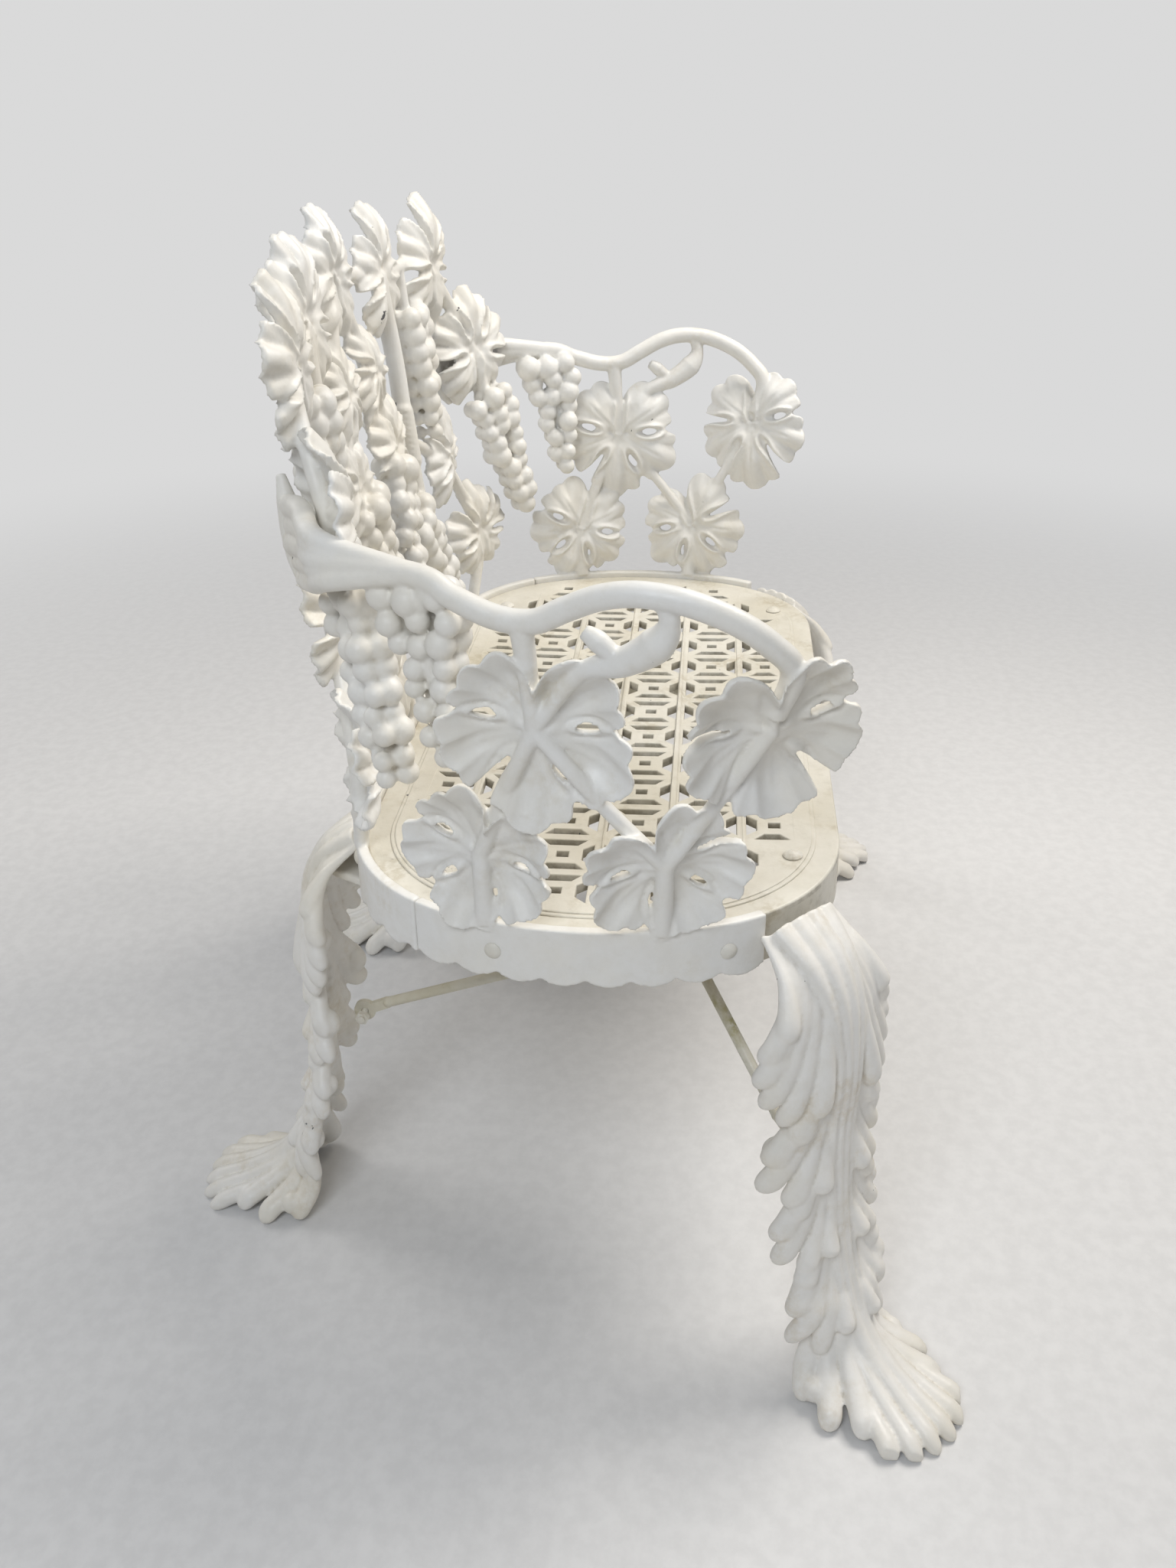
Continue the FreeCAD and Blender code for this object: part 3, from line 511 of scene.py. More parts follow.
def bar(soup, points, radii, steps=10, sides=18):
    """Round bar through points, with a radius at each point."""
    line = spline(points, steps)
    radii = np.asarray(radii, float) * np.ones(len(points))
    radius = np.interp(np.linspace(0, len(points) - 1, len(line)), np.arange(len(points)), radii)
    tangent = np.gradient(line, axis=0)
    tangent /= np.linalg.norm(tangent, axis=1)[:, None]
    side = np.cross(tangent[0], UP if abs(tangent[0][2]) < 0.9 else np.array([1.0, 0, 0]))
    turn = np.linspace(0, 2 * math.pi, sides, endpoint=False)
    rings = []
    for point, axis, r in zip(line, tangent, radius):
        side = side - axis * np.dot(side, axis)
        side = side / np.linalg.norm(side)
        other = np.cross(axis, side)
        rings.append(point + r * (np.cos(turn)[:, None] * side + np.sin(turn)[:, None] * other))
    soup.add(np.concatenate(rings + [line[:1], line[-1:]]), closed_tube(len(line), sides))


def ball(soup, centre, radius, rows=12, sides=20):
    """Round ball, for a grape or a boss."""
    polar = np.linspace(0, math.pi, rows + 1)
    turn = np.linspace(0, 2 * math.pi, sides, endpoint=False)
    p, t = np.meshgrid(polar, turn, indexing="ij")
    verts = np.stack([np.sin(p) * np.cos(t), np.sin(p) * np.sin(t), np.cos(p)], -1).reshape(-1, 3)
    index = np.arange((rows + 1) * sides).reshape(rows + 1, sides)
    after = np.roll(index, -1, axis=1)
    faces = np.stack([index[:-1], index[1:], after[1:], after[:-1]], -1).reshape(-1, 4)
    soup.add(np.asarray(centre) + verts * radius, faces)


def bunch(soup, place, swing, length, width, seed):
    """Hanging grapes, large at the top and tapering to the tip, lumpy behind as well."""
    random = np.random.RandomState(seed)
    origin, along, up, inward = place
    side = along * math.cos(math.radians(swing)) + up * math.sin(math.radians(swing))
    rise = np.cross(inward, side)
    rows = int(length / GRAPE_ROW) + 1
    for row in range(rows):
        down = row / (rows - 1)
        shoulder = 0.85 + 0.15 * math.sin(math.pi * min(1, down * 3))
        half = (width / 2 - 8) * (1 - 0.8 * down) * shoulder
        count = max(1, int(round(2 * half / GRAPE_GAP)) + 1)
        for k in range(count):
            across = 0.0 if count == 1 else -half + 2 * half * k / (count - 1)
            across += random.uniform(-2.5, 2.5) + 4.0 * (row % 2 - 0.5)
            size = random.uniform(*GRAPE_SIZES) * (1 - 0.2 * down)
            proud = 4.0 + 8.0 * (1 - (abs(across) / (width / 2)) ** 2) + random.uniform(-1.5, 4.5)
            spot = origin + side * across + rise * (random.uniform(-2, 2) - row * GRAPE_ROW)
            ball(soup, spot + inward * proud, size)
            ball(soup, spot - inward * random.uniform(0, 5), 0.85 * size)
    core = origin + inward * 3
    bar(soup, [core + rise * 6, core - rise * length * 0.45, core - rise * length * 0.85], [6, 6, 4], 6)


# Bands against the seat's edge
BAND_LOW, BAND_HIGH = SEAT_TOP - 45, SEAT_TOP + 3
BAND_INNER, BAND_OUTER, BAND_FOOT = 0.3, 9.2, 9.0
BAND_STEP = 2.0
SCALLOP, SCALLOP_DEPTH, SCALLOP_SWELL = 33.0, 6.0, 0.8
BACK_JOINT_Y, ARM_JOINT_Y, JOINT_GAP = 128.0, 127.6, 0.5
BACK_JOINT_RUN = CORNER_X + CORNER_RADIUS * math.acos((BACK_JOINT_Y - CORNER_Y) / CORNER_RADIUS)


def band(soup, start, stop, first_notch):
    """Band with a scalloped lower edge."""
    steps = max(2, round((stop - start) / BAND_STEP))
    rings = []
    for run in np.arange(start, stop + 0.1, (stop - start) / steps):
        point, normal, tangent = outline_frame(run)
        wave = abs(math.sin(math.pi * (run - first_notch) / SCALLOP))
        low = BAND_LOW + SCALLOP_DEPTH * (1 - wave ** 0.6)
        rings.append([
            point + normal * (BAND_FOOT + SCALLOP_SWELL * wave) + UP * low,
            point + normal * BAND_OUTER + UP * BAND_HIGH,
            point + normal * BAND_INNER + UP * BAND_HIGH,
            point + normal * BAND_INNER + UP * low])
    index = np.arange(len(rings) * 4).reshape(len(rings), 4)
    soup.add(np.array(rings), np.concatenate([tube_walls(index), index[:1], index[-1:, ::-1]]))


# Left half of the back: leaves as (run, rise, radius, turn), bunches as (run, rise, swing, length)
BACK_LEAVES = [
    (0, 400, 63, 0), (138, 384, 63, 6), (258, 374, 61, -8), (318, 280, 60, 0), (52, 312, 48, 170),
    (74, 236, 53, 195), (248, 180, 55, 15), (303, 80, 53, 8), (84, 58, 51, 10)]
BACK_FULLNESS = 1.1
BACK_SLITS, BACK_RELIEF = 0.8, 3.6
BACK_BUNCHES = [(196, 336, 0, 118), (334, 226, 18, 138), (110, 150, 34, 120), (66, 214, -20, 120)]
BACK_BUNCH_WIDTH = 64
TRUNK, STEM = 9.0, 6.5
BACK_STEMS = [
    ([(152, 1), (140, 200), (146, 300), (138, 384)], TRUNK),
    ([(40, 1), (40, 165), (74, 236), (52, 312), (24, 375), (14, 396)], STEM),
    ([(286, 1), (303, 80), (248, 180)], STEM),
    ([(318, 280), (258, 374), (138, 384), (11, 401)], STEM),
    ([(140, 225), (248, 180)], STEM),
    ([(84, 1), (84, 58)], STEM),
    ([(196, 379), (196, 326)], STEM),
    ([(318, 280), (338, 218)], STEM),
    ([(74, 236), (112, 142)], STEM)]
RING_COUNT, RING_RUN, RING_RISE, RING_PITCH, RING_SLANT = 9, 141.0, 205, 6.0, 3


def back_soup():
    """Shells of the back, with slanting rings round its two trunks."""
    soup = Soup()
    for side in (1, -1):
        for number, (run, rise, radius, turn) in enumerate(BACK_LEAVES):
            if run == 0 and side < 0:
                continue
            full = radius if number == 0 else BACK_FULLNESS * radius
            seed = 40 + number + 20 * (side < 0)
            local, faces = leaf(full, side * turn, seed, BACK_SLITS, BACK_RELIEF)
            soup.add(placed(local, back_frame(side * run, rise)), faces)
        for number, (run, rise, swing, length) in enumerate(BACK_BUNCHES):
            seed = 90 + number + 10 * (side < 0)
            bunch(soup, back_frame(side * run, rise), side * swing, length, BACK_BUNCH_WIDTH, seed)
        for route, radius in BACK_STEMS:
            bar(soup, [back_frame(side * run, rise)[0] for run, rise in route], radius)
        for k in range(RING_COUNT):
            origin, along, up, inward = back_frame(side * RING_RUN, RING_RISE + RING_PITCH * k)
            slant = along * RING_SLANT + up * RING_SLANT
            bar(soup, [origin - slant, origin + up * 0.5, origin + slant], [10.6, 11.4, 10.6], 2)
    reach = BACK_JOINT_RUN - JOINT_GAP
    band(soup, -reach, reach, SCALLOP / 2)
    return soup


# Left arm: leaves as (along, rise, radius, turn), and routes as (along, rise)
ARM_LEAVES = [(29, 169, 73, 175), (-107, 180, 70, 190), (74, 60, 65, 160), (-55, 62, 65, 200)]
ARM_SLITS, ARM_RELIEF = 0.45, 1.0
ARM_RAIL = [
    (104, 268), (78, 258), (50, 249), (26, 249), (6, 260), (-14, 271), (-34, 276), (-58, 273), (-82, 261),
    (-100, 244), (-111, 224), (-107, 190)]
RAIL_RADIUS = 8.6
ARM_STEMS = [
    ([(34, 250), (31, 210), (29, 169)], [8.5, 7, 6]),
    ([(29, 169), (-12, 116), (-55, 62)], [6, 5.5, 6]),
    ([(-55, 62), (-55, 1)], [6.5, 8]),
    ([(74, 60), (74, 1)], [6.5, 8]),
    ([(29, 169), (52, 115), (74, 60)], [6, 6, 6]),
    ([(-107, 180), (-84, 120), (-55, 62)], [6, 5.5, 6]),
    ([(-46, 274), (-50, 258), (-44, 242), (-26, 227), (0, 214), (29, 169)], [6, 7, 12, 10, 6, 5]),
    ([(-24, 228), (-12, 240), (-4, 246)], [6, 7.5, 5]),
    ([(96, 264), (104, 246)], [7, 7])]

# The rail's rear end and the flaring ear round it, as (along, up) from its root by a leaf of the back
ROOT_LEAF = (318, 280)
ROOT_ALONG, ROOT_UP, ROOT_INWARD = -32, -20, -17
RAIL_ROOT = [(0, 0), (36, 6), (82, 10)]
RAIL_ROOT_RADII = [11, 10, 9.5]
EAR_BARS = [(-6, 26), (-2, 13), (4, -12), (10, -24)]
EAR_LINE = [(-10, 0, 1.08), (5, 0.5, 1.0), (36, 6, 0.95), (82, 10, 0.45)]
EAR_RADII = [4.0, 8.6, 8.5, 8, 7.5, 7]
EAR_RIM = [(8, -31), (-6, -14), (-12, 6), (-13, 27), (-20, 45)]
EAR_RIM_RADII = [5, 8, 8.5, 7.5, 3.5]


def arm_soup():
    """Shells of the left arm; the right one is its mirror image."""
    soup = Soup()
    origin, along, up, inward = back_frame(*ROOT_LEAF)
    root = origin + along * ROOT_ALONG + up * ROOT_UP + inward * ROOT_INWARD

    def by_root(a, b):
        return root + along * a + up * b

    rail = [by_root(*spot) for spot in RAIL_ROOT] + [arm_frame(*spot)[0] for spot in ARM_RAIL]
    bar(soup, rail, RAIL_ROOT_RADII + [RAIL_RADIUS] * (len(ARM_RAIL) - 1) + [7], 8, 22)
    for back, height in EAR_BARS:
        ear = [by_root(back + a, b + height * spread) for a, b, spread in EAR_LINE]
        bar(soup, ear + rail[3:5], EAR_RADII, 8)
    bar(soup, [by_root(*spot) for spot in EAR_RIM], EAR_RIM_RADII, 8)
    for number, (spot, rise, radius, turn) in enumerate(ARM_LEAVES):
        local, faces = leaf(radius, turn, 7 + number, ARM_SLITS, ARM_RELIEF)
        soup.add(placed(local, arm_frame(spot, rise)), faces)
    for route, radii in ARM_STEMS:
        bar(soup, [arm_frame(*spot)[0] for spot in route], radii)
    bunch(soup, arm_frame(108, 252), swing=8, length=122, width=68, seed=31)
    reach = END_RUN - run_at_depth(ARM_JOINT_Y)
    band(soup, END_RUN - reach, END_RUN + reach, END_RUN)
    return soup


# Legs, in their own axes: x outward, y to the side, z up
SPINE = [
    (10, 408), (28, 396), (45, 381), (58, 356), (64, 325), (66, 290), (64, 228), (70, 158), (84, 98),
    (110, 55), (150, 25), (203, 3)]
TIERS = [
    # where the first and last finger leave the spine, the line of their tips as (along, aside),
    # how many fingers, and how far their tips stand off
    ((0, 36), (10, 13), [(86, 55), (112, 70), (142, 71), (168, 56), (162, 32)], 6, 16.0),
    ((104, 17), (150, 8), [(184, 46), (206, 64), (232, 66), (248, 46), (238, 26)], 5, 16.0),
    ((184, 15), (226, 7), [(258, 44), (278, 60), (300, 58), (312, 39), (302, 21)], 5, 15.0),
    ((250, 14), (294, 6), [(324, 44), (346, 55), (372, 51), (386, 33), (376, 18)], 5, 15.0),
    ((328, 12), (352, 8), [(404, 58), (428, 62), (446, 48)], 3, 2.0),
]
FOOT_ROOTS = [(318, -10), (318, 10)]
FOOT_TIPS = [(-18, -46), (-5, -26), (-2, 0), (-5, 26), (-18, 46)]
FOOT_TOES = 6
FLOOR_GAP = 0.3

# Sizes that change with the distance along the spine: the distances, then the values there
FOLD = ([0, 50, 100, 340, 400], [13, 26, 36, 36, 26])
SPINE_SPREAD = ([0, 60, 120, 330, 430], [24, 17, 10.5, 9.5, 24])
SPINE_LIFT = ([0, 330, 430], [4, 4, 0])
SPINE_HEIGHT = ([0, 330, 430], [5.5, 5.5, 3.5])

# Plate at the top of a leg, through which it is bolted to the seat
PAD_CORNERS = [(32, 24), (52, 6), (52, -6), (32, -24), (-44, -64.6), (-61, -51), (-44, -37.4)]
PAD_LOW, PAD_HIGH = 364, 372
BOLT_INWARD, BOLT_ASIDE = 44, 51


def travelled(line):
    """Distance along a line at each of its points."""
    return np.concatenate([[0], np.cumsum(np.linalg.norm(np.diff(line, axis=0), axis=1))])


def along_line(points, count):
    """Evenly spaced points along a line of straight runs, and their spacing."""
    points = np.array(points, float)
    travel = travelled(points)
    spots = np.linspace(0, travel[-1], count)
    line = np.stack([np.interp(spots, travel, points[:, k]) for k in (0, 1)], -1)
    return line, travel[-1] / max(1, count - 1)


class LegSkin:
    """Surface of a leg, over the distance down its spine and the distance aside."""

    def __init__(self):
        line = spline([(x, 0, z) for x, z in SPINE], 24)
        self.travel = travelled(line)
        self.length = self.travel[-1]
        self.x, self.z = line[:, 0], line[:, 2]
        slope = np.gradient(line, self.travel, axis=0)
        slope /= np.linalg.norm(slope, axis=1)[:, None]
        self.out_x, self.out_z = -slope[:, 2], slope[:, 0]

    def at(self, s, values):
        return np.interp(s, self.travel, values)

    def point(self, s, y, lift):
        """Place on the skin, lifted off it; the sides fold back and the foot lies on the floor."""
        fold = np.interp(s, *FOLD) * (np.abs(y) / 66) ** 1.6
        height = np.maximum(0, self.at(s, self.z) - 5.0) / np.maximum(0.35, self.at(s, self.out_z))
        to_floor = height * np.clip(np.abs(y) / 62, 0, 1.15) ** 1.25
        blend = ramp(s, 345, 400)
        out = lift - fold * (1 - blend) - to_floor * blend
        x = self.at(s, self.x) + self.at(s, self.out_x) * out
        z = self.at(s, self.z) + self.at(s, self.out_z) * out
        return np.stack([x, y, np.maximum(z, FLOOR_GAP)], -1)


def rib(soup, skin, path, lift, half_width, half_height, sides=18):
    """Rounded rib along a path on a leg's skin."""
    s, y = path[:, 0], path[:, 1]
    middle = skin.point(s, y, lift)
    down = skin.point(s + 1, y, lift) - skin.point(s - 1, y, lift)
    aside = skin.point(s, y + 1, lift) - skin.point(s, y - 1, lift)
    out = np.cross(aside, down)
    out /= np.linalg.norm(out, axis=1)[:, None]
    across = np.cross(out, np.gradient(middle, axis=0))
    across /= np.maximum(1e-6, np.linalg.norm(across, axis=1))[:, None]
    turn = np.linspace(0, 2 * math.pi, sides, endpoint=False)
    rings = middle[:, None] + across[:, None] * (half_width[:, None] * np.cos(turn))[..., None]
    rings = rings + out[:, None] * (half_height[:, None] * np.sin(turn))[..., None]
    rings[..., 2] = np.maximum(rings[..., 2], FLOOR_GAP)
    verts = np.concatenate([rings.reshape(-1, 3), middle[:1], middle[-1:]])
    soup.add(verts, closed_tube(len(s), sides))


def fingers(soup, skin, roots, tips, stand):
    """Leaf fingers side by side, from the spine to their round ends."""
    t = np.linspace(0, 1, 48)
    bends = roots + np.array([0.55, 0.2]) * (tips - roots)
    parts = ((roots, (1 - t) ** 2), (bends, 2 * t * (1 - t)), (tips, t ** 2))
    paths = sum(spots[:, None] * weight[:, None] for spots, weight in parts)
    gaps = np.linalg.norm(np.diff(paths, axis=0), axis=2)
    gaps = np.concatenate([gaps[:1], (gaps[1:] + gaps[:-1]) / 2, gaps[-1:]])
    end = np.sqrt(np.clip(1 - (np.maximum(0, t - 0.88) / 0.122) ** 2, 0, 1))
    lift = stand * t ** 2 - 3.5 * ramp(t, 0.86, 1.0)
    for path, gap in zip(paths, gaps):
        half_width = np.maximum(2.8, gap * (0.525 - 0.06 * ramp(t, 0.72, 0.95)))
        half_height = np.minimum(half_width * 0.95, 4.5 + 4.0 * ramp(t, 0.2, 0.8))
        rib(soup, skin, path, lift, half_width * end, half_height * end)


def leg_soup():
    """Shells of one leg: tiers of fingers with a boss in each, the foot, the spine and the top plate."""
    soup = Soup()
    skin = LegSkin()
    for first, last, tips, count, stand in TIERS:
        spots, gap = along_line(tips, count)
        roots, _ = along_line([first, last], count)
        boss = 0.7 * spots[count // 2] + 0.3 * roots[count // 2]
        for side in (np.array([1, 1]), np.array([1, -1])):
            fingers(soup, skin, roots * side, spots * side, stand)
            place = skin.point(boss[:1], boss[1:] * side[1], np.array([stand * 0.5 - 2.0]))[0]
            ball(soup, place, 0.5 * gap)
    toes, _ = along_line([(skin.length + back, aside) for back, aside in FOOT_TIPS], FOOT_TOES)
    roots, _ = along_line(FOOT_ROOTS, FOOT_TOES)
    fingers(soup, skin, roots, toes, 1.0)
    s = np.linspace(2, 430, 70)
    spread = np.interp(s, *SPINE_SPREAD)
    for aside in (-1.0, -1 / 3, 1 / 3, 1.0):
        path = np.stack([s, aside * spread], -1)
        rib(soup, skin, path, np.interp(s, *SPINE_LIFT), 0.37 * spread, np.interp(s, *SPINE_HEIGHT))
    slab(soup, PAD_CORNERS, PAD_LOW, PAD_HIGH)
    return soup


def slab(soup, corners, low, high):
    """Flat plate with the given corners."""
    corners = np.array(corners, float)
    count = len(corners)
    verts = [np.column_stack([corners, np.full(count, z)]) for z in (low, high)]
    verts += [np.array([[*corners.mean(0), z]]) for z in (low, high)]
    k = np.arange(count)
    n = np.roll(k, -1)
    under = np.full(count, 2 * count)
    over = under + 1
    faces = [
        np.stack([k, n, n + count, k + count], -1),
        np.stack([n, k, under, under], -1),
        np.stack([k + count, n + count, over, over], -1)]
    soup.add(np.concatenate(verts), np.concatenate(faces))


def set_leg(soup, origin, outward):
    """Leg shells turned to their place under the seat."""
    side = np.cross(UP, outward)
    verts, faces = soup.arrays()
    result = Soup()
    result.add(origin + verts[:, :1] * outward + verts[:, 1:2] * side + verts[:, 2:3] * UP, faces)
    return result


# Seat. A hole of its star pattern is half its long side, half its short side, and how far both lie
# from the hole's line.
PITCH = 57.5
PETAL = (16.9, 8.55, 4.0, 12.6)
SQUARE = (4.6, 4.6, -4.9, 4.9)
OUTER_SQUARES = 142.0
SLOT_NEAR, SLOT_FAR = 4.9, 13.9
SLOT_LONG, SLOT_SHORT = PITCH / 2 - 10.4, PITCH / 2 - 17.5
OUTER_SLOTS, OUTER_LONG, OUTER_SHORT = 2 * PITCH + 24.7, 14.3, 6.3
HOLE_BORDER = -30.5
HOLE_TO_BOLT = 13

# Plates of the seat: the panel, then rings as name, outer and inner offset from the outline, low,
# high, bevel and depth of grime and painted shade
PANEL_EDGE, PANEL_LOW, PANEL_BEVEL, PANEL_GRIME_AND_SHADE = -22.5, 409, 1.1, 1.7
SEAT_RINGS = [
    ("border", 0, -23.5, 408, 415, 1.8, 0.6),
    ("bead", -19.0, -24.0, 411, 416.6, 1.2, 1.5),
    ("apron", 0, -7, 372, 411, 1.5, 0.3)]
DISH_DEPTH, DISH_X, DISH_Y = 3.5, 378, 172


def offset_outline(offset):
    """Closed seat outline, grown by offset."""
    front_run = 2 * END_RUN - CORNER_X
    straight = np.linspace(0, CORNER_X, 8)
    round_end = np.linspace(CORNER_X, front_run, 90)
    points = []
    for run in np.concatenate([straight[:-1], round_end]):
        point, normal, tangent = outline_frame(run)
        spot = point + normal * offset
        points.append((spot[0], spot[1]))
    front = np.linspace(front_run, 2 * END_RUN, 8)[1:]
    points += [(2 * END_RUN - run, -HALF_DEPTH - offset) for run in front]
    return points + [(-x, y) for x, y in points[::-1][1:-1]]


def outline_offset(x, y):
    """Distance of a place from the seat's outline, negative inside it."""
    x, y = abs(x), abs(y)
    if x <= CORNER_X:
        return y - HALF_DEPTH
    if math.atan2(x - CORNER_X, y - CORNER_Y) <= SWEEP:
        return math.hypot(x - CORNER_X, y - CORNER_Y) - CORNER_RADIUS
    return math.hypot(x - END_CENTRE, y) - END_RADIUS


def hole(x, y, long_half, short_half, near, far, lengthwise):
    """Four corners of a hole beside a line through x and y."""
    corners = [(-long_half, near), (long_half, near), (short_half, far), (-short_half, far)]
    if lengthwise:
        return [(x + a, y + b) for a, b in corners]
    return [(x + b, y + a) for a, b in corners]


def star_holes(bolts):
    """Holes of the star pattern that keep clear of the border and the bolts."""
    holes = []
    columns = [k * PITCH for k in (-2, -1, 0, 1, 2)]
    gaps = [column + PITCH / 2 for column in columns[:-1]]
    petal_long, petal_short, petal_near, petal_far = PETAL
    for k in range(13):
        x = (k - 6) * PITCH
        for y in columns:
            for side in (1, -1):
                holes.append(hole(x, y, petal_long, petal_short, side * petal_near, side * petal_far, True))
        for y in gaps + [OUTER_SQUARES, -OUTER_SQUARES]:
            holes.append(hole(x, y, *SQUARE, True))
    slots = [(y, SLOT_LONG, SLOT_SHORT) for y in gaps]
    slots += [(side * OUTER_SLOTS, OUTER_LONG, OUTER_SHORT) for side in (1, -1)]
    for k in range(14):
        x = (k - 6.5) * PITCH
        for side in (1, -1):
            if abs(x + side) > 6.5 * PITCH:
                continue
            for y, long_half, short_half in slots:
                holes.append(hole(x, y, long_half, short_half, side * SLOT_NEAR, side * SLOT_FAR, False))

    def clear(corners):
        inside = all(outline_offset(x, y) <= HOLE_BORDER for x, y in corners)
        return inside and all(math.dist(corner, bolt) > HOLE_TO_BOLT for corner in corners for bolt in bolts)

    return [corners for corners in holes if clear(corners)]


def plate(name, loops, low, high, bevel, grime_and_shade):
    """Flat plate with softened edges from closed loops; below its top edges it is darkened by grime and
    painted shade.
    """
    curve = bpy.data.curves.new(name, "CURVE")
    curve.dimensions = "2D"
    curve.fill_mode = "BOTH"
    curve.extrude = ((high - low) / 2 - bevel) * MM
    curve.bevel_depth = bevel * MM
    curve.bevel_resolution = 2
    curve.offset = -bevel * MM
    for loop in loops:
        line = curve.splines.new("POLY")
        line.points.add(len(loop) - 1)
        for point, (x, y) in zip(line.points, loop):
            point.co = (x * MM, y * MM, 0, 1)
        line.use_cyclic_u = True
    mesh = evaluated_mesh(linked(name, curve))
    bpy.data.curves.remove(curve)
    points = mesh_points(mesh) + np.array([0, seat_middle_y, (low + high) / 2 * MM])
    set_points(mesh, points)
    # Faces below the top edges get a depth that the paint darkens: partly grime, partly painted shade on the
    # walls of holes and plates.
    store_hollow(mesh, grime_and_shade * ramp(high - points[:, 2] / MM, 0.2, 2.5))
    return mesh


def join_meshes(name, meshes):
    """One mesh from several, with their hollow marks."""
    verts, faces, marks, count = [], [], [], 0
    for mesh in meshes:
        points = mesh_points(mesh)
        for polygon in mesh.polygons:
            faces.append([v + count for v in polygon.vertices])
        verts.append(points)
        marks.append(read_rows(mesh.attributes["hollow"].data, "value", 1, np.float32)[:, 0])
        count += len(points)
    result = bpy.data.meshes.new(name)
    result.from_pydata(np.concatenate(verts).tolist(), [], faces)
    store_hollow(result, np.concatenate(marks))
    result.update()
    return result


def seat_mesh(bolts):
    """Slightly dished panel with its holes, inside the border, bead and apron."""
    loops = [offset_outline(PANEL_EDGE)] + star_holes(bolts)
    panel = plate("panel", loops, PANEL_LOW, SEAT_TOP, PANEL_BEVEL, PANEL_GRIME_AND_SHADE)
    points = mesh_points(panel)
    x = points[:, 0] / (DISH_X * MM)
    y = (points[:, 1] - seat_middle_y) / (DISH_Y * MM)
    points[:, 2] -= DISH_DEPTH * MM * np.clip(1 - x ** 2, 0, 1) * np.clip(1 - y ** 2, 0, 1)
    set_points(panel, points)
    plates = [panel]
    for name, outer, inner, *sizes in SEAT_RINGS:
        plates.append(plate(name, [offset_outline(outer), offset_outline(inner)], *sizes))
    return join_meshes("seat", plates)


# Materials
IRON = (0.1, 0.098, 0.1)


class Nodes:
    """Small helper for building a node material."""

    def __init__(self, name):
        self.material = bpy.data.materials.new(name)
        self.material.use_nodes = True
        self.tree = self.material.node_tree
        self.shader = self.tree.nodes["Principled BSDF"]
        self.place = self.node("ShaderNodeTexCoord").outputs["Object"]

    def node(self, kind, **settings):
        made = self.tree.nodes.new(kind)
        for key, value in settings.items():
            setattr(made, key, value)
        return made

    def link(self, source, target):
        self.tree.links.new(source, target)

    def noise(self, scale, detail=4.0, rough=0.6):
        made = self.node("ShaderNodeTexNoise")
        made.inputs["Scale"].default_value = scale
        made.inputs["Detail"].default_value = detail
        made.inputs["Roughness"].default_value = rough
        self.link(self.place, made.inputs["Vector"])
        return made.outputs["Fac"]

    def remap(self, value, low, high, to_low=0.0, to_high=1.0):
        made = self.node("ShaderNodeMapRange", interpolation_type="SMOOTHSTEP")
        self.link(value, made.inputs["Value"])
        made.inputs["From Min"].default_value = low
        made.inputs["From Max"].default_value = high
        made.inputs["To Min"].default_value = to_low
        made.inputs["To Max"].default_value = to_high
        return made.outputs["Result"]

    def math(self, operation, a, b):
        made = self.node("ShaderNodeMath", operation=operation)
        for socket, value in zip(made.inputs, (a, b)):
            if isinstance(value, float):
                socket.default_value = value
            else:
                self.link(value, socket)
        return made.outputs[0]

    def mix(self, factor, a, b):
        made = self.node("ShaderNodeMix", data_type="RGBA")
        self.link(factor, made.inputs["Factor"])
        colours = [socket for socket in made.inputs if socket.type == "RGBA"]
        for socket, value in zip(colours, (a, b)):
            if isinstance(value, tuple):
                socket.default_value = (*value, 1)
            else:
                self.link(value, socket)
        return [socket for socket in made.outputs if socket.type == "RGBA"][0]


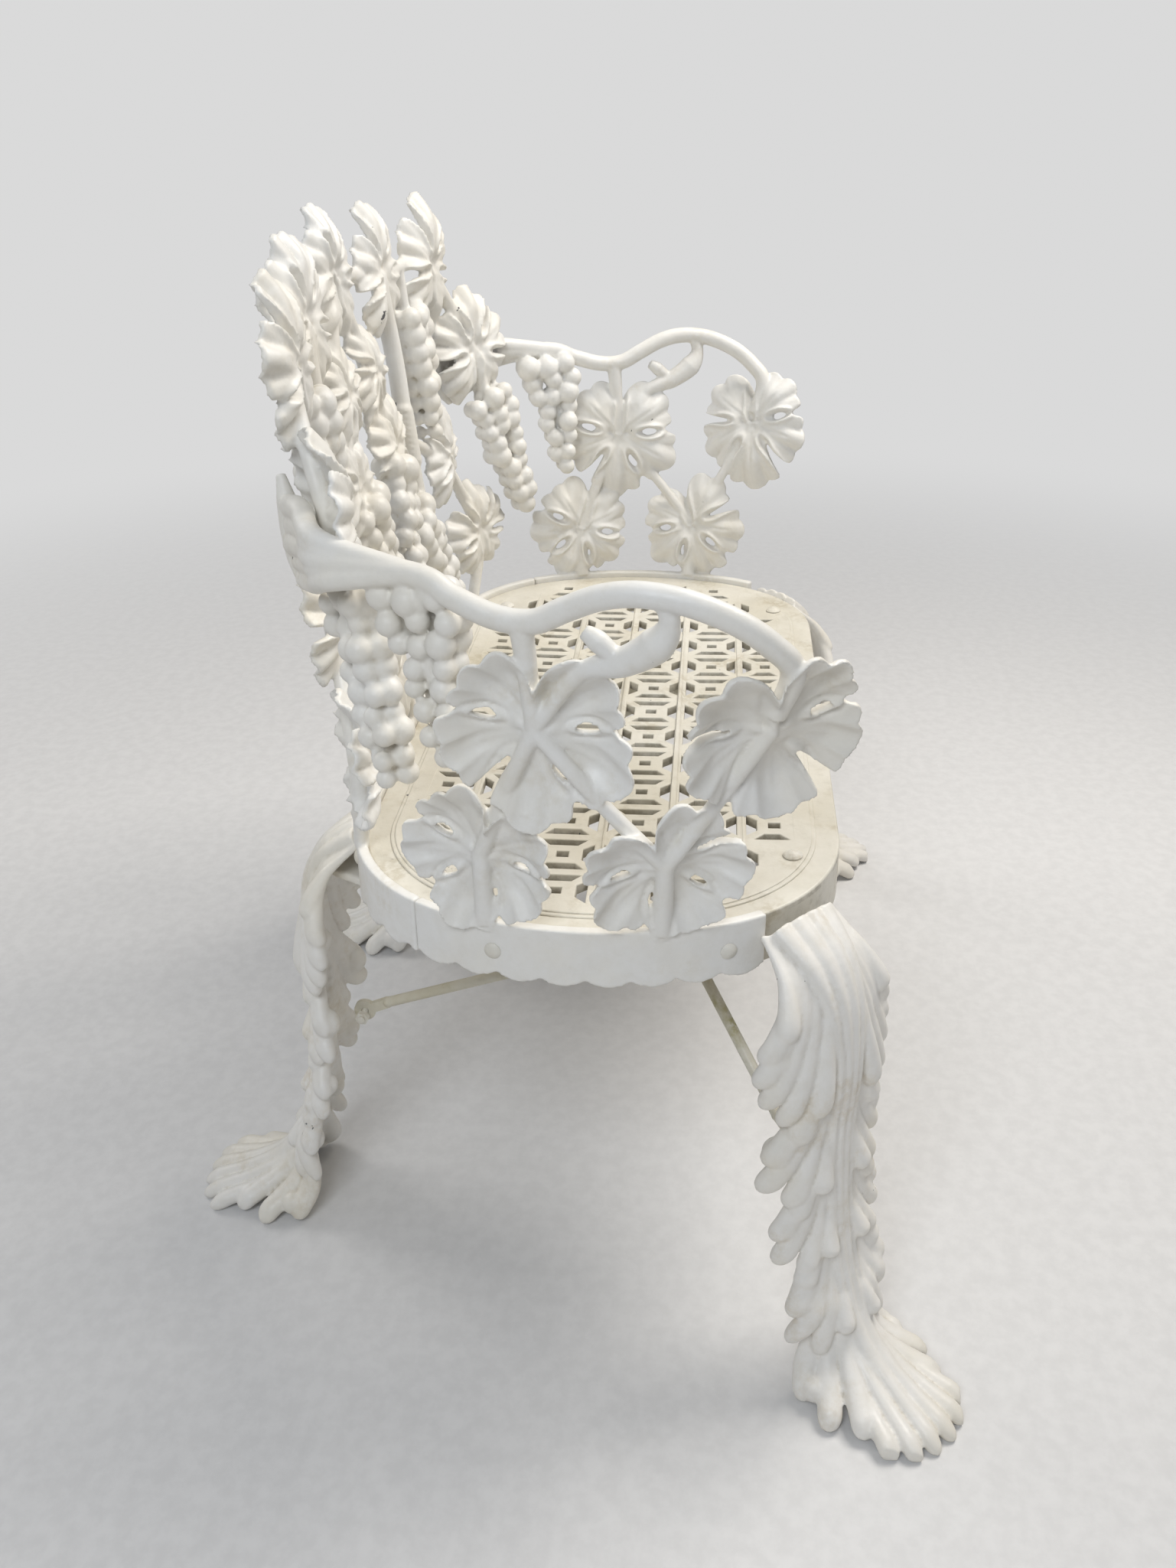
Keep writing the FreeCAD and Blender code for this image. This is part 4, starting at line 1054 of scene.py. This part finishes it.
def paint(name, light, warm, grime_and_shade, grime_and_shade_range, stain, stain_amount):
    """Aged enamel over iron: mottled, stained, darkened in its hollows by grime and painted shade, and
    chipped to dark metal in spots.
    """
    m = Nodes(name)
    hollow = m.node("ShaderNodeAttribute", attribute_name="hollow").outputs["Fac"]
    tone = m.mix(m.remap(m.noise(7.0, 5.0), 0.38, 0.66), light, warm)
    mottle = m.remap(m.noise(70.0, 6.0, 0.7), 0.35, 0.75, 0.0, 0.35)
    tone = m.mix(mottle, tone, tuple(0.88 * c for c in warm))
    # Deep places, by the hollow depth, are darkened toward the grime colour: partly grime, partly painted
    # shade in creases and recesses.
    ragged = m.math("ADD", hollow, m.remap(m.noise(55.0, 6.0, 0.7), 0.3, 0.7, -0.5, 0.6))
    dirt_and_shade = m.remap(ragged, *grime_and_shade_range, 0.0, 0.75)
    tone = m.mix(dirt_and_shade, tone, grime_and_shade)
    patches = m.remap(m.noise(16.0, 7.0, 0.65), 0.52, 0.7)
    blot = m.math("MULTIPLY", patches, m.remap(m.noise(140.0, 3.0), 0.3, 0.6))
    tone = m.mix(m.math("MULTIPLY", blot, stain_amount), tone, stain)
    speck = m.math("MULTIPLY", m.noise(120.0, 3.0), m.remap(m.noise(23.0, 2.0), 0.58, 0.72))
    chip = m.remap(speck, 0.63, 0.655)
    tone = m.mix(chip, tone, IRON)
    m.link(tone, m.shader.inputs["Base Color"])
    rough = m.remap(m.noise(38.0, 5.0), 0.3, 0.7, 0.36, 0.56)
    m.link(m.math("ADD", rough, m.math("MULTIPLY", dirt_and_shade, 0.25)), m.shader.inputs["Roughness"])
    bump = m.node("ShaderNodeBump")
    bump.inputs["Strength"].default_value = 0.45
    bump.inputs["Distance"].default_value = 0.0009
    skin = m.math("ADD", m.noise(95.0, 6.0, 0.6), m.math("MULTIPLY", chip, -0.7))
    m.link(skin, bump.inputs["Height"])
    m.link(bump.outputs["Normal"], m.shader.inputs["Normal"])
    m.shader.inputs["IOR"].default_value = 1.5
    return m.material


# Each grime colour darkens the hollows: partly grime, partly painted shade that brings out the relief.
PANEL = paint(
    "panel_enamel", light=(0.80, 0.79, 0.76), warm=(0.78, 0.75, 0.68), grime_and_shade=(0.42, 0.36, 0.25),
    grime_and_shade_range=(0.5, 3.0), stain=(0.58, 0.51, 0.37), stain_amount=0.3)
LEG = paint(
    "leg_enamel", light=(0.80, 0.78, 0.74), warm=(0.77, 0.73, 0.64), grime_and_shade=(0.40, 0.33, 0.21),
    grime_and_shade_range=(0.4, 2.6), stain=(0.55, 0.45, 0.29), stain_amount=0.4)
SEAT = paint(
    "seat_enamel", light=(0.71, 0.68, 0.60), warm=(0.63, 0.59, 0.49), grime_and_shade=(0.19, 0.16, 0.10),
    grime_and_shade_range=(0.2, 1.7), stain=(0.42, 0.36, 0.24), stain_amount=0.55)
BRACE = paint(
    "brace_enamel", light=(0.66, 0.63, 0.54), warm=(0.55, 0.50, 0.36), grime_and_shade=(0.22, 0.19, 0.08),
    grime_and_shade_range=(0.3, 1.2), stain=(0.34, 0.30, 0.11), stain_amount=0.9)
HARDWARE = paint(
    "hardware_enamel", light=(0.74, 0.72, 0.66), warm=(0.66, 0.62, 0.52), grime_and_shade=(0.25, 0.2, 0.12),
    grime_and_shade_range=(0.3, 1.0), stain=(0.42, 0.34, 0.2), stain_amount=0.6)

# Shown pieces, with voxels as fine as a casting's ornament needs
ARM_VOXEL, BACK_VOXEL, LEG_VOXEL = 1.5, 2.0, 1.7
FRONT_LEG_TURN = math.radians(135)
REAR_LEG_X = 228.0
LEG_PLACES = {
    "front": (
        arc_point(CORNER_X, -CORNER_Y, CORNER_RADIUS, FRONT_LEG_TURN),
        arc_point(0, 0, 1, FRONT_LEG_TURN)),
    "rear": (np.array([REAR_LEG_X, HALF_DEPTH, 0]), np.array([0.0, 1.0, 0])),
}

arm = casting_mesh("left_arm_casting", arm_soup(), ARM_VOXEL)
piece("left_arm_casting", arm, PANEL, "left_arm")
piece("right_arm_casting", mirrored_mesh(arm, "right_arm_casting"), PANEL, "right_arm")
back = casting_mesh("back_casting", back_soup(), BACK_VOXEL)
piece("back_casting", back, PANEL, "back_panel")

leg_shells = leg_soup()
bolts = []
for name, (origin, outward) in LEG_PLACES.items():
    left, right = "left_" + name + "_leg", "right_" + name + "_leg"
    leg = casting_mesh(left + "_casting", set_leg(leg_shells, origin, outward), LEG_VOXEL)
    piece(left + "_casting", leg, LEG, left)
    piece(right + "_casting", mirrored_mesh(leg, right + "_casting"), LEG, right)
    bolt = origin - outward * BOLT_INWARD - np.cross(UP, outward) * BOLT_ASIDE
    bolts += [(bolt[0], bolt[1]), (-bolt[0], bolt[1])]

piece("seat_casting", seat_mesh(bolts), SEAT, "seat_grille")

for name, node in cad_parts.items():
    if node.hide_render:
        continue
    node.data.materials.clear()
    node.data.materials.append(BRACE if name.endswith("_brace") else HARDWARE)

# Floor and backdrop, in metres
BACKGROUND = (0.70, 0.70, 0.70)
FLOOR_COLOURS = ((0.66, 0.655, 0.65), (0.71, 0.705, 0.70))
FLOOR_FADE = (0.9, 2.8)
FLOOR_HALF = 30
AMBIENT_COLOUR, AMBIENT_STRENGTH = (0.94, 0.96, 1.0), 0.25


def floor_material():
    """Pale floor that fades into the background with distance."""
    m = Nodes("pale_floor")
    speckle = m.remap(m.noise(60.0), 0.3, 0.7)
    m.link(m.mix(speckle, *FLOOR_COLOURS), m.shader.inputs["Base Color"])
    m.shader.inputs["Roughness"].default_value = 0.9
    far = m.node("ShaderNodeVectorMath", operation="LENGTH")
    m.link(m.place, far.inputs[0])
    fade = m.remap(far.outputs["Value"], *FLOOR_FADE)
    seen = m.node("ShaderNodeLightPath").outputs["Is Camera Ray"]
    glow = m.node("ShaderNodeEmission")
    glow.inputs["Color"].default_value = (*BACKGROUND, 1)
    both = m.node("ShaderNodeMixShader")
    m.link(m.math("MULTIPLY", fade, seen), both.inputs[0])
    m.link(m.shader.outputs[0], both.inputs[1])
    m.link(glow.outputs[0], both.inputs[2])
    m.link(both.outputs[0], m.tree.nodes["Material Output"].inputs["Surface"])
    return m.material


def studio_world():
    """Soft light from all round, seen by the camera as a plain backdrop."""
    world = bpy.data.worlds.new("studio")
    world.use_nodes = True
    sky = world.node_tree
    ambient = sky.nodes["Background"]
    ambient.inputs["Color"].default_value = (*AMBIENT_COLOUR, 1)
    ambient.inputs["Strength"].default_value = AMBIENT_STRENGTH
    backdrop = sky.nodes.new("ShaderNodeBackground")
    backdrop.inputs["Color"].default_value = (*BACKGROUND, 1)
    rays = sky.nodes.new("ShaderNodeLightPath")
    shown = sky.nodes.new("ShaderNodeMixShader")
    sky.links.new(rays.outputs["Is Camera Ray"], shown.inputs[0])
    sky.links.new(ambient.outputs[0], shown.inputs[1])
    sky.links.new(backdrop.outputs[0], shown.inputs[2])
    sky.links.new(shown.outputs[0], sky.nodes["World Output"].inputs["Surface"])
    return world


floor_corners = [(FLOOR_HALF * x, FLOOR_HALF * y, 0) for x, y in ((-1, -1), (1, -1), (1, 1), (-1, 1))]
floor_mesh = bpy.data.meshes.new("floor")
floor_mesh.from_pydata(floor_corners, [], [(0, 1, 2, 3)])
floor_mesh.materials.append(floor_material())
linked("floor", floor_mesh)
bpy.context.scene.world = studio_world()

# Lamps as name, place, target, size, power and colour, in metres and watts
LAMPS = [
    ("overhead", (0.5, -1.0, 2.3), (0, 0, 0.4), 1.1, 44, (1.0, 0.955, 0.89)),
    ("camera_side", (-2.1, 0.3, 2.1), (0, 0, 0.5), 1.0, 26, (0.89, 0.94, 1.0)),
    ("behind", (0.9, 2.3, 2.0), (0, 0, 0.4), 1.4, 20, (1.0, 0.98, 0.95))]
for name, place, target, size, power, colour in LAMPS:
    data = bpy.data.lights.new(name, "AREA")
    data.size = size
    data.energy = power
    data.color = colour
    lamp = linked(name, data)
    lamp.location = place
    lamp.rotation_euler = (Vector(target) - Vector(place)).to_track_quat("-Z", "Y").to_euler()

# Camera solved from the photo: degrees, metres from the seat's middle at floor level, photo pixels
PITCH_DOWN, YAW, ROLL = 27.087, 5.276, -0.687
CAMERA_PLACE = Vector((-1.2856, -0.0848, 0.9928))
FOCAL_PIXELS, PHOTO_WIDTH = 1879.63, 1537
SENSOR_WIDTH = 36.0


def turn_about(axis, degrees):
    return Matrix.Rotation(math.radians(degrees), 3, axis)


camera_data = bpy.data.cameras.new("camera")
camera_data.sensor_fit = "HORIZONTAL"
camera_data.sensor_width = SENSOR_WIDTH
camera_data.lens = FOCAL_PIXELS / PHOTO_WIDTH * SENSOR_WIDTH
camera_data.clip_start = 0.02
camera_data.clip_end = 60
camera = linked("camera", camera_data)
to_photo = Matrix(((0, -1, 0), (0, 0, -1), (1, 0, 0)))
rows = turn_about("Z", ROLL) @ turn_about("X", PITCH_DOWN) @ turn_about("Y", YAW) @ to_photo
axes = Matrix((rows[0], -rows[1], -rows[2])).transposed()
eye = CAMERA_PLACE + Vector((0, seat_middle_y, 0))
camera.matrix_world = Matrix.Translation(eye) @ axes.to_4x4()
bpy.context.scene.camera = camera
bpy.context.scene.view_settings.view_transform = "Standard"
